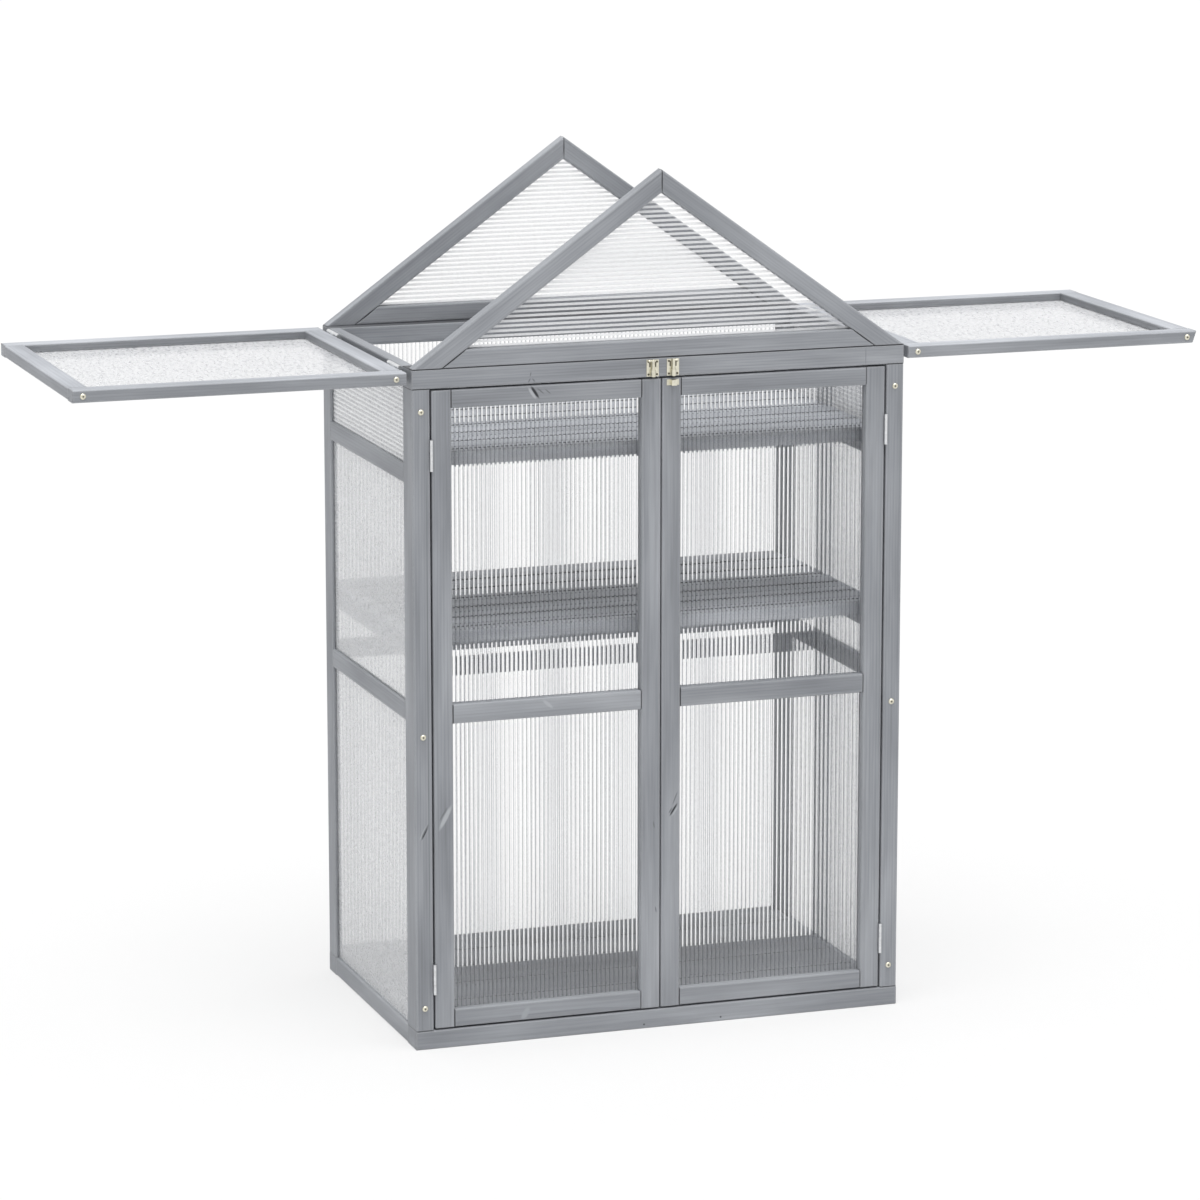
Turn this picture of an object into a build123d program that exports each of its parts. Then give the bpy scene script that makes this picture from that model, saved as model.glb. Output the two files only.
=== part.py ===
# Cold frame greenhouse: a slim softwood cabinet glazed with clear hollow sheet, with two doors, two slatted
# shelves, and a gable roof made of two flaps that swing right over to the sides.
# Millimetres. X is to the right, Y to the back, Z up. The origin is on the ground, at the middle of the base.
from build123d import *
from math import atan2, cos, degrees, sin, tan
import os

os.makedirs("parts", exist_ok=True)

# Overall sizes
WIDTH = 800.0
DEPTH = 490.0
EAVE_HEIGHT = 1066.0
ROOF_RISE = 288.0

# Carcass timber
BASE_H = 30.0
BEAM_H = 30.0
POST_W = 28.0
FRONT_POST_D = 48.0
BACK_POST_D = 40.0
RAIL_H = 30.0
SIDE_T = 18.0
BACK_T = 18.0
MIDDLE_RAIL_Z = 515.0
BACK_RAIL_Z = 523.0
UPPER_RAIL_DROP = 180.0
ARRIS = 1.5

# Hollow glazing sheet and the grooves that hold it
SHEET_T = 4.0
SKIN_T = 0.6
WEB_T = 0.6
CHANNEL_PITCH = 8.0
SHEET_SETBACK = 5.0
SHEET_FIT = 0.15
SHEET_IN = 7.0
GROOVE_D = 8.0
TONGUE_FIT = 0.1

# Floor and shelves
BEARER_W = 30.0
BEARER_INSET = 42.0
FLOOR_T = 12.0
FLOOR_BOARDS = 5
FLOOR_GAP = 1.0
FLOOR_CLEAR = 1.0
FLOOR_DOOR_CLEAR = 3.0
SHEET_CLEAR = 2.0
MIDDLE_SHELF_TOP = 652.0
TOP_SHELF_DROP = 136.0
SHELF_CLEAR = 3.0
SHELF_LIP_T = 12.0
SLAT_T = 10.0
SLAT_COUNT = 6
SLAT_GAP = 5.0
BATTEN_W = 25.0
BATTEN_H = 12.0
CLEAT_W = 15.0
CLEAT_H = 20.0
CLEAT_FRONT_CLEAR = 10.0
CLEAT_BACK_CLEAR = 5.0

# Gables
GABLE_T = 20.0
RAFTER_W = 28.0
CHORD_H = 28.0
GABLE_SETBACK = 8.0

# Doors
DOOR_T = 20.0
STILE_W = 31.0
DOOR_RAIL_H = 28.0
HINGE_GAP = 3.0
MEETING_GAP = 2.0
DOOR_CLEAR = 3.0
DOOR_SETBACK = 13.0

# Door hinges
DOOR_HINGE_RISE = 79.0
DOOR_HINGE_DROP = 99.0
DOOR_HINGE_L = 48.0
DOOR_LEAF_T = 1.2
DOOR_LEAF_D = 18.0
DOOR_BARREL_R = 2.5
DOOR_PIN_R = 1.2
DOOR_AXIS_PROUD = 2.3

# Roof flaps
FLAP_T = 19.0
FLAP_RAIL_W = 30.0
FLAP_LIP = 2.0
FLAP_GAP = 8.0
FLAP_DROP = 3.4
FLAP_REST = 0.3
RIDGE_CLEAR = 0.6

# Flap hinges
FLAP_HINGE_INSET = 77.0
FLAP_HINGE_L = 60.0
FLAP_LEAF_T = 1.5
FLAP_LEAF_EDGE = 1.0
FLAP_BARREL_R = 3.4
FLAP_PIN_R = 1.6

# Knuckles, screws and bolts are drawn with flats, so that their many pieces stay light
ROUND_SIDES = 16
SHANK_SIDES = 8

# Fits shared by all hinges
PIN_FIT = 0.1
KNUCKLE_CLEAR = 0.3

# Screws
SCREW_HEAD_R = 4.5
SCREW_HEAD_H = 2.0
SCREW_SHANK_R = 2.0
SCREW_HOLE_FIT = 0.05
POST_SCREW_L = 30.0
FLAP_SCREW_L = 42.0
POST_SCREW_RISE = 36.0
POST_SCREW_RAIL_DROP = 18.0
POST_SCREW_BEAM_DROP = 35.0
FLAP_SCREW_INSET = 16.0

# Door bolts
BOLT_X = {"left": -15.0, "right": 18.0}
BOLT_PLATE_W = 20.0
BOLT_PLATE_H = 26.0
BOLT_PLATE_T = 1.0
BOLT_PLATE_RISE = 1.0
BOLT_GUIDE_H = 11.0
BOLT_GUIDE_R = 4.0
BOLT_R = 2.5
BOLT_FIT = 0.2
BOLT_STAND_OFF = 0.6
BOLT_L = 27.0
BOLT_TIP_RISE = 0.5
BOLT_LEVER_R = 1.5
BOLT_LEVER_L = 8.0
BOLT_LEVER_DROP = 2.0
KEEPER_H = 9.0
KEEPER_DROP = 2.0
KEEPER_STRAP_T = 1.0
KEEPER_FIT = 0.5

# Places worked out from the sizes
SIDES = {"left": -1, "right": 1}
HALF_W = WIDTH / 2
FRONT = -DEPTH / 2
BACK = DEPTH / 2
POST_INNER = HALF_W - POST_W
BAY_FRONT = FRONT + FRONT_POST_D
BAY_BACK = BACK - BACK_POST_D
BEAM_BOTTOM = EAVE_HEIGHT - BEAM_H
MIDDLE_RAIL = (MIDDLE_RAIL_Z, MIDDLE_RAIL_Z + RAIL_H)
BACK_RAIL = (BACK_RAIL_Z, BACK_RAIL_Z + RAIL_H)
UPPER_RAIL_Z = EAVE_HEIGHT - UPPER_RAIL_DROP
UPPER_RAIL = (UPPER_RAIL_Z, UPPER_RAIL_Z + RAIL_H)
SLOPE = atan2(ROOF_RISE, HALF_W)
SLOPE_DEG = degrees(SLOPE)
APEX_Z = EAVE_HEIGHT + ROOF_RISE


def length(limits):
    return limits[1] - limits[0]


def middle(limits):
    return (limits[0] + limits[1]) / 2


def grown(limits, by):
    return (limits[0] - by, limits[1] + by)


def on_side(side, near, far):
    """Limits along X of a piece that lies between two distances from the middle, on one side."""
    return tuple(sorted((side * near, side * far)))


def block(xs, ys, zs, mode=Mode.ADD):
    """Adds or cuts a plain block between limits."""
    with Locations((middle(xs), middle(ys), middle(zs))):
        Box(length(xs), length(ys), length(zs), mode=mode)


def cut(xs, ys, zs):
    block(xs, ys, zs, mode=Mode.SUBTRACT)


def timber(xs, ys, zs, along):
    """Adds one planed timber between limits, with its four long edges eased."""
    runs = {"X": (xs, ys, zs), "Y": (ys, xs, zs), "Z": (zs, xs, ys)}
    planes = {"X": Plane.YZ.offset(xs[0]), "Y": Plane.XZ.offset(-ys[1]), "Z": Plane.XY.offset(zs[0])}
    run, across, up = runs[along]
    with BuildSketch(planes[along]) as section:
        with Locations((middle(across), middle(up))):
            Rectangle(length(across), length(up))
        chamfer(section.vertices(), ARRIS)
    extrude(section.sketch, amount=length(run))


def rod(centre, radius, run, along, mode=Mode.ADD, sides=ROUND_SIDES):
    """Adds or cuts a small round bar whose middle is at centre: a bar stays inside radius, a bore outside it."""
    heading = Vector(along == "X", along == "Y", along == "Z")
    with BuildSketch(Plane(origin=Vector(*centre) - heading * (run / 2), z_dir=heading)) as section:
        RegularPolygon(radius, sides, major_radius=(mode == Mode.ADD))
    extrude(section.sketch, amount=run, mode=mode)


def screw(x, face_y, z, shank_l, outward):
    """Adds one flat-headed screw along Y, with its head on the face at face_y."""
    rod((x, face_y + outward * SCREW_HEAD_H / 2, z), SCREW_HEAD_R, SCREW_HEAD_H, "Y")
    rod((x, face_y - outward * shank_l / 2, z), SCREW_SHANK_R, shank_l, "Y", sides=SHANK_SIDES)


def screw_hole(x, face_y, z, shank_l, outward):
    """Cuts the hole that a screw of the same place is driven into."""
    radius = SCREW_SHANK_R + SCREW_HOLE_FIT
    depth = shank_l + 2 * SCREW_HOLE_FIT
    rod((x, face_y - outward * shank_l / 2, z), radius, depth, "Y", Mode.SUBTRACT, SHANK_SIDES)


def save(builder, name):
    """Labels a finished piece with its node's name and writes it."""
    builder.part.label = name
    export_step(builder.part, f"parts/{name}.step")


# The glazing grooves: limits across the sheet, with the sheet's own limits between them
def side_sheet(side):
    return on_side(side, HALF_W - SHEET_SETBACK - SHEET_T, HALF_W - SHEET_SETBACK)


BACK_SHEET = (BACK - SHEET_SETBACK - SHEET_T, BACK - SHEET_SETBACK)


def groove_of(sheet):
    return grown(sheet, SHEET_FIT)


def tongue_of(sheet):
    return grown(sheet, SHEET_FIT - TONGUE_FIT)


def edge_grooves(xs, ys, zs, up=True, down=True):
    """Cuts a glazing groove in the top and bottom edges of a rail between limits."""
    if up:
        cut(xs, ys, (zs[1] - GROOVE_D, zs[1]))
    if down:
        cut(xs, ys, (zs[0], zs[0] + GROOVE_D))


# Base frame: front and back rails run the full width and the side rails butt between them
FULL_X = (-HALF_W, HALF_W)
FRONT_Y = (FRONT, BAY_FRONT)
BACK_Y = (BAY_BACK, BACK)
BAY_Y = (BAY_FRONT, BAY_BACK)
BASE_Z = (0, BASE_H)

with BuildPart() as base_rail_front:
    timber(FULL_X, FRONT_Y, BASE_Z, "X")
save(base_rail_front, "base_rail_front")

with BuildPart() as base_rail_back:
    timber(FULL_X, BACK_Y, BASE_Z, "X")
save(base_rail_back, "base_rail_back")

for name, side in SIDES.items():
    with BuildPart() as base_rail:
        timber(on_side(side, POST_INNER, HALF_W), BAY_Y, BASE_Z, "Y")
    save(base_rail, f"base_rail_{name}")

# Posts: each has a glazing groove towards its side wall, and the back ones another towards the back wall
POST_Z = (BASE_H, BEAM_BOTTOM)
POST_SCREW_Z = (
    BASE_H + POST_SCREW_RISE,
    MIDDLE_RAIL_Z - POST_SCREW_RAIL_DROP,
    BEAM_BOTTOM - POST_SCREW_BEAM_DROP,
)

for name, side in SIDES.items():
    post_x = on_side(side, POST_INNER, HALF_W)
    with BuildPart() as front_post:
        timber(post_x, FRONT_Y, POST_Z, "Z")
        cut(groove_of(side_sheet(side)), (BAY_FRONT - GROOVE_D, BAY_FRONT), POST_Z)
        for screw_z in POST_SCREW_Z:
            screw_hole(middle(post_x), FRONT, screw_z, POST_SCREW_L, -1)
    save(front_post, f"post_front_{name}")
    with BuildPart() as back_post:
        timber(post_x, BACK_Y, POST_Z, "Z")
        cut(groove_of(side_sheet(side)), (BAY_BACK, BAY_BACK + GROOVE_D), POST_Z)
        cut(on_side(side, POST_INNER, POST_INNER + GROOVE_D), groove_of(BACK_SHEET), POST_Z)
    save(back_post, f"post_back_{name}")

with BuildPart() as post_screws:
    for side in SIDES.values():
        for screw_z in POST_SCREW_Z:
            screw(side * (HALF_W - POST_W / 2), FRONT, screw_z, POST_SCREW_L, -1)
save(post_screws, "post_screws")

# Top frame: two beams on the posts, with an eave rail between them on each side
BEAM_Z = (BEAM_BOTTOM, EAVE_HEIGHT)

with BuildPart() as top_beam_front:
    timber(FULL_X, FRONT_Y, BEAM_Z, "X")
save(top_beam_front, "top_beam_front")

with BuildPart() as top_beam_back:
    timber(FULL_X, BACK_Y, BEAM_Z, "X")
save(top_beam_back, "top_beam_back")

for name, side in SIDES.items():
    with BuildPart() as eave_rail:
        timber(on_side(side, HALF_W - SIDE_T, HALF_W), BAY_Y, BEAM_Z, "Y")
    save(eave_rail, f"eave_rail_{name}")

# Side and back rails: a tongue at each end fits the post's groove, and both edges are grooved for the sheets
TONGUE_Y = grown(BAY_Y, SHEET_IN)
BACK_BAY_X = (-POST_INNER, POST_INNER)
BACK_TONGUE_X = grown(BACK_BAY_X, SHEET_IN)

for name, side in SIDES.items():
    with BuildPart() as side_rails:
        for rail_z in (MIDDLE_RAIL, UPPER_RAIL):
            timber(on_side(side, HALF_W - SIDE_T, HALF_W), BAY_Y, rail_z, "Y")
            block(tongue_of(side_sheet(side)), TONGUE_Y, rail_z)
            edge_grooves(groove_of(side_sheet(side)), TONGUE_Y, rail_z)
    save(side_rails, f"side_rails_{name}")

with BuildPart() as middle_rail_back:
    timber(BACK_BAY_X, (BACK - BACK_T, BACK), BACK_RAIL, "X")
    block(BACK_TONGUE_X, tongue_of(BACK_SHEET), BACK_RAIL)
    edge_grooves(BACK_TONGUE_X, groove_of(BACK_SHEET), BACK_RAIL)
save(middle_rail_back, "middle_rail_back")

# Fixed sheets: in the posts' grooves at both ends, standing on the base or in the rails' grooves
LOWER_SHEET_Z = (BASE_H, MIDDLE_RAIL[0] + SHEET_IN)
MIDDLE_SHEET_Z = (MIDDLE_RAIL[1] - SHEET_IN, UPPER_RAIL[0] + SHEET_IN)
UPPER_SHEET_Z = (UPPER_RAIL[1] - SHEET_IN, BEAM_BOTTOM)
BACK_LOWER_SHEET_Z = (BASE_H, BACK_RAIL[0] + SHEET_IN)
BACK_UPPER_SHEET_Z = (BACK_RAIL[1] - SHEET_IN, BEAM_BOTTOM)

for name, side in SIDES.items():
    with BuildPart() as side_sheets:
        for sheet_z in (LOWER_SHEET_Z, MIDDLE_SHEET_Z, UPPER_SHEET_Z):
            block(side_sheet(side), TONGUE_Y, sheet_z)
    save(side_sheets, f"side_sheets_{name}")

with BuildPart() as back_sheets:
    for sheet_z in (BACK_LOWER_SHEET_Z, BACK_UPPER_SHEET_Z):
        block(BACK_TONGUE_X, BACK_SHEET, sheet_z)
save(back_sheets, "back_sheets")

# Floor: boards along the width, on the base rails and on three bearers that stand on the ground between them
FLOOR_Z = (BASE_H, BASE_H + FLOOR_T)
FLOOR_X = grown(BACK_BAY_X, -FLOOR_CLEAR)
FLOOR_Y = (FRONT + DOOR_T + FLOOR_DOOR_CLEAR, BACK_SHEET[0] - SHEET_CLEAR)
BEARER_X = POST_INNER - BEARER_INSET

with BuildPart() as floor_bearers:
    for bearer_x in (-BEARER_X, 0, BEARER_X):
        timber((bearer_x - BEARER_W / 2, bearer_x + BEARER_W / 2), BAY_Y, BASE_Z, "Y")
save(floor_bearers, "floor_bearers")


def boards(xs, last_xs, ys, zs, count, gap):
    """Adds parallel boards along X that share the depth ys, with even gaps; the last has its own limits along X."""
    board_w = (length(ys) - (count - 1) * gap) / count
    for index in range(count):
        start = ys[0] + index * (board_w + gap)
        board_xs = last_xs if index == count - 1 else xs
        timber(board_xs, (start, start + board_w), zs, "X")


with BuildPart() as floor_boards:
    boards(FLOOR_X, FLOOR_X, FLOOR_Y, FLOOR_Z, FLOOR_BOARDS, FLOOR_GAP)
save(floor_boards, "floor_boards")

# Shelves: slats and a deeper front lip on three battens, which rest on cleats screwed to the posts. The last slat
# fits between the back posts.
SHELF_TOPS = {"middle": MIDDLE_SHELF_TOP, "top": EAVE_HEIGHT - TOP_SHELF_DROP}
SHELF_H = SLAT_T + BATTEN_H
SHELF_X_HALF = HALF_W - SIDE_T - SHELF_CLEAR
SHELF_X = (-SHELF_X_HALF, SHELF_X_HALF)
SHELF_Y = (BAY_FRONT + SHELF_CLEAR, BACK_SHEET[0] - SHEET_CLEAR)
LAST_SLAT_X = grown(BACK_BAY_X, -SHELF_CLEAR)
LIP_Y = (SHELF_Y[0], SHELF_Y[0] + SHELF_LIP_T)
BATTEN_STARTS = (-POST_INNER, -BATTEN_W / 2, POST_INNER - BATTEN_W)
CLEAT_Y = (FRONT + DOOR_T + CLEAT_FRONT_CLEAR, BACK_SHEET[0] - CLEAT_BACK_CLEAR)

for name, shelf_top in SHELF_TOPS.items():
    with BuildPart() as shelf_slats:
        timber(SHELF_X, LIP_Y, (shelf_top - SHELF_H, shelf_top), "X")
        slat_y = (LIP_Y[1] + SLAT_GAP, SHELF_Y[1])
        boards(SHELF_X, LAST_SLAT_X, slat_y, (shelf_top - SLAT_T, shelf_top), SLAT_COUNT, SLAT_GAP)
    save(shelf_slats, f"{name}_shelf_slats")
    with BuildPart() as shelf_battens:
        for start in BATTEN_STARTS:
            batten_z = (shelf_top - SHELF_H, shelf_top - SLAT_T)
            timber((start, start + BATTEN_W), (LIP_Y[1], SHELF_Y[1]), batten_z, "Y")
    save(shelf_battens, f"{name}_shelf_battens")

with BuildPart() as shelf_cleats:
    for shelf_top in SHELF_TOPS.values():
        for side in SIDES.values():
            cleat_top = shelf_top - SHELF_H
            timber(on_side(side, POST_INNER - CLEAT_W, POST_INNER), CLEAT_Y, (cleat_top - CLEAT_H, cleat_top), "Y")
save(shelf_cleats, "shelf_cleats")

# Gables: two rafters that meet in a plumb joint, a chord between their feet, and a triangular sheet
CHORD_Z = (EAVE_HEIGHT, EAVE_HEIGHT + CHORD_H)
GABLES = {"front": (FRONT, 1), "back": (BACK, -1)}
RAFTER_SPARE = RAFTER_W


def rafter_underside(side, inset):
    """Plane of a rafter's lower face, moved into the rafter by inset, facing outwards."""
    normal = Vector(side * sin(SLOPE), 0, cos(SLOPE))
    eave = Vector(side * HALF_W, 0, EAVE_HEIGHT)
    return Plane(origin=eave - normal * (RAFTER_W - inset), x_dir=(0, 1, 0), z_dir=normal)


for name, (face_y, inward) in GABLES.items():
    gable_y = tuple(sorted((face_y, face_y + inward * GABLE_T)))
    sheet_face = face_y + inward * GABLE_SETBACK
    sheet_y = tuple(sorted((sheet_face, sheet_face + inward * SHEET_T)))
    for side_name, side in SIDES.items():
        along = Vector(-side * cos(SLOPE), 0, sin(SLOPE))
        foot = Vector(side * HALF_W, 0, EAVE_HEIGHT) - along * RAFTER_SPARE
        rafter_l = HALF_W / cos(SLOPE) + 2 * RAFTER_SPARE
        with BuildPart() as rafter:
            with BuildSketch(Plane(origin=foot, x_dir=(0, -side, 0), z_dir=along)) as section:
                with Locations((-side * middle(gable_y), -RAFTER_W / 2)):
                    Rectangle(GABLE_T, RAFTER_W)
                chamfer(section.vertices(), ARRIS)
                with Locations((-side * middle(sheet_y), -RAFTER_W + GROOVE_D / 2)):
                    Rectangle(length(groove_of(sheet_y)), GROOVE_D, mode=Mode.SUBTRACT)
            extrude(amount=rafter_l)
            split(bisect_by=Plane.YZ, keep=Keep.TOP if side > 0 else Keep.BOTTOM)
            split(bisect_by=Plane.XY.offset(EAVE_HEIGHT), keep=Keep.TOP)
        save(rafter, f"{name}_gable_{side_name}_rafter")
    with BuildPart() as chord:
        timber(FULL_X, gable_y, CHORD_Z, "X")
        cut(FULL_X, groove_of(sheet_y), (CHORD_Z[1] - GROOVE_D, CHORD_Z[1]))
        for side in SIDES.values():
            split(bisect_by=rafter_underside(side, 0), keep=Keep.BOTTOM)
    save(chord, f"{name}_gable_chord")
    with BuildPart() as gable_sheet:
        block(FULL_X, sheet_y, (CHORD_Z[1] - SHEET_IN, APEX_Z))
        for side in SIDES.values():
            split(bisect_by=rafter_underside(side, SHEET_IN), keep=Keep.BOTTOM)
    save(gable_sheet, f"{name}_gable_sheet")

# Doors: framed leaves flush with the front, their hollow sheets held in grooves behind
DOOR_Y = (FRONT, FRONT + DOOR_T)
DOOR_Z = (BASE_H + DOOR_CLEAR, BEAM_BOTTOM - DOOR_CLEAR)
DOOR_SHEET_Y = (FRONT + DOOR_SETBACK, FRONT + DOOR_SETBACK + SHEET_T)
HINGE_EDGE = POST_INNER - HINGE_GAP
MEETING_EDGE = MEETING_GAP / 2
LIGHT_NEAR = MEETING_EDGE + STILE_W
LIGHT_FAR = HINGE_EDGE - STILE_W
BOTTOM_DOOR_RAIL = (DOOR_Z[0], DOOR_Z[0] + DOOR_RAIL_H)
TOP_DOOR_RAIL = (DOOR_Z[1] - DOOR_RAIL_H, DOOR_Z[1])
DOOR_LIGHTS = ((BOTTOM_DOOR_RAIL[1], MIDDLE_RAIL[0]), (MIDDLE_RAIL[1], TOP_DOOR_RAIL[0]))


def hollow_sheet(xs, ys, zs):
    """Adds one upright hollow sheet: two skins joined by webs, with open channels from end to end."""
    count = int((length(xs) - WEB_T) // CHANNEL_PITCH)
    with BuildSketch(Plane.XY.offset(zs[0])) as section:
        with Locations((middle(xs), middle(ys))):
            Rectangle(length(xs), length(ys))
            with GridLocations(CHANNEL_PITCH, SHEET_T, count, 1):
                Rectangle(CHANNEL_PITCH - WEB_T, SHEET_T - 2 * SKIN_T, mode=Mode.SUBTRACT)
    extrude(section.sketch, amount=length(zs))


for name, side in SIDES.items():
    light_x = on_side(side, LIGHT_NEAR, LIGHT_FAR)
    tongue_x = grown(light_x, SHEET_IN)
    groove_y = groove_of(DOOR_SHEET_Y)
    with BuildPart() as stiles:
        timber(on_side(side, MEETING_EDGE, LIGHT_NEAR), DOOR_Y, DOOR_Z, "Z")
        cut(on_side(side, LIGHT_NEAR - GROOVE_D, LIGHT_NEAR), groove_y, DOOR_Z)
        timber(on_side(side, LIGHT_FAR, HINGE_EDGE), DOOR_Y, DOOR_Z, "Z")
        cut(on_side(side, LIGHT_FAR, LIGHT_FAR + GROOVE_D), groove_y, DOOR_Z)
    save(stiles, f"{name}_door_stiles")
    with BuildPart() as rails:
        for rail_z in (BOTTOM_DOOR_RAIL, MIDDLE_RAIL, TOP_DOOR_RAIL):
            timber(light_x, DOOR_Y, rail_z, "X")
            block(tongue_x, tongue_of(DOOR_SHEET_Y), rail_z)
            edge_grooves(tongue_x, groove_y, rail_z, rail_z != TOP_DOOR_RAIL, rail_z != BOTTOM_DOOR_RAIL)
    save(rails, f"{name}_door_rails")
    with BuildPart() as door_sheets:
        for light_z in DOOR_LIGHTS:
            hollow_sheet(tongue_x, DOOR_SHEET_Y, grown(light_z, SHEET_IN))
    save(door_sheets, f"{name}_door_sheets")

# Door hinges: butt hinges in the gap, the outer knuckles on the post and the middle one on the door
DOOR_HINGE_Z = (DOOR_Z[0] + DOOR_HINGE_RISE, DOOR_Z[1] - DOOR_HINGE_DROP)
DOOR_AXIS_Y = FRONT - DOOR_AXIS_PROUD
DOOR_AXIS_X = POST_INNER - HINGE_GAP / 2
DOOR_LEAF_Y = (DOOR_AXIS_Y + DOOR_BARREL_R + KNUCKLE_CLEAR, FRONT + DOOR_LEAF_D)
DOOR_TAB_Y = (DOOR_AXIS_Y, DOOR_LEAF_Y[0])


def knuckle_spans(hinge_l):
    """Limits of a hinge's three knuckles along its pin, measured from its middle."""
    end = hinge_l / 2
    inner = hinge_l / 6
    return ((-end, -inner - KNUCKLE_CLEAR), (-inner, inner), (inner + KNUCKLE_CLEAR, end))


def door_leaf(plate_x, axis_x, hinge_z, spans):
    """Adds one leaf of a door hinge, with knuckles along the given spans."""
    block(plate_x, DOOR_LEAF_Y, (hinge_z - DOOR_HINGE_L / 2, hinge_z + DOOR_HINGE_L / 2))
    for low, high in spans:
        block(plate_x, DOOR_TAB_Y, (hinge_z + low, hinge_z + high))
        rod((axis_x, DOOR_AXIS_Y, hinge_z + (low + high) / 2), DOOR_BARREL_R, high - low, "Z")
    rod((axis_x, DOOR_AXIS_Y, hinge_z), DOOR_PIN_R + PIN_FIT, DOOR_HINGE_L, "Z", Mode.SUBTRACT)


DOOR_KNUCKLES = knuckle_spans(DOOR_HINGE_L)

with BuildPart() as door_hinge_post_leaves:
    for side in SIDES.values():
        for hinge_z in DOOR_HINGE_Z:
            plate_x = on_side(side, POST_INNER - DOOR_LEAF_T, POST_INNER)
            door_leaf(plate_x, side * DOOR_AXIS_X, hinge_z, (DOOR_KNUCKLES[0], DOOR_KNUCKLES[2]))
save(door_hinge_post_leaves, "door_hinge_post_leaves")

with BuildPart() as door_hinge_pins:
    for side in SIDES.values():
        for hinge_z in DOOR_HINGE_Z:
            with Locations((side * DOOR_AXIS_X, DOOR_AXIS_Y, hinge_z)):
                Cylinder(DOOR_PIN_R, DOOR_HINGE_L)
save(door_hinge_pins, "door_hinge_pins")

for name, side in SIDES.items():
    with BuildPart() as door_hinge_leaves:
        for hinge_z in DOOR_HINGE_Z:
            plate_x = on_side(side, HINGE_EDGE, HINGE_EDGE + DOOR_LEAF_T)
            door_leaf(plate_x, side * DOOR_AXIS_X, hinge_z, (DOOR_KNUCKLES[1],))
    save(door_hinge_leaves, f"{name}_door_hinge_leaves")

# Roof flaps, swung right over and lying level beside the eaves, with the sheet on the lower, weather side.
# Closed, the left flap laps over the bevelled ridge end of the right one.
FLAP_AXIS_OUT = FLAP_GAP / 2
FLAP_AXIS_X = HALF_W + FLAP_AXIS_OUT
FLAP_AXIS_FALL = (FLAP_DROP + FLAP_AXIS_OUT * sin(SLOPE) - FLAP_REST) / (1 + cos(SLOPE))
FLAP_AXIS_Z = EAVE_HEIGHT - FLAP_AXIS_FALL
FLAP_START = HALF_W + FLAP_GAP
FLAP_FOOT = FLAP_GAP - FLAP_AXIS_OUT - FLAP_AXIS_OUT * cos(SLOPE) - FLAP_AXIS_FALL * sin(SLOPE)
FLAP_TO_RIDGE = HALF_W / cos(SLOPE) + FLAP_REST * tan(SLOPE) - FLAP_FOOT
FLAP_L = {
    "left": FLAP_TO_RIDGE + FLAP_T / sin(2 * SLOPE),
    "right": FLAP_TO_RIDGE - RIDGE_CLEAR / sin(2 * SLOPE),
}
FLAP_TOP = EAVE_HEIGHT - FLAP_DROP
FLAP_Z = (FLAP_TOP - FLAP_T, FLAP_TOP)
FLAP_SHEET_Z = (FLAP_Z[0] + FLAP_LIP, FLAP_Z[0] + FLAP_LIP + SHEET_T)
FLAP_LIGHT_Y = (FRONT + FLAP_RAIL_W, BACK - FLAP_RAIL_W)
FLAP_FACES = ((FRONT, -1), (BACK, 1))


def flap_ends(name):
    return FLAP_START, FLAP_START + FLAP_L[name]


def bevel_ridge_end(name):
    """Cuts the right flap's ridge end parallel to the left flap's underside, as both lie closed."""
    if name == "right":
        ridge = Vector(flap_ends(name)[1], 0, FLAP_TOP)
        facing = Vector(sin(2 * SLOPE), 0, -cos(2 * SLOPE))
        split(bisect_by=Plane(origin=ridge, x_dir=(0, 1, 0), z_dir=facing), keep=Keep.BOTTOM)


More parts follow.
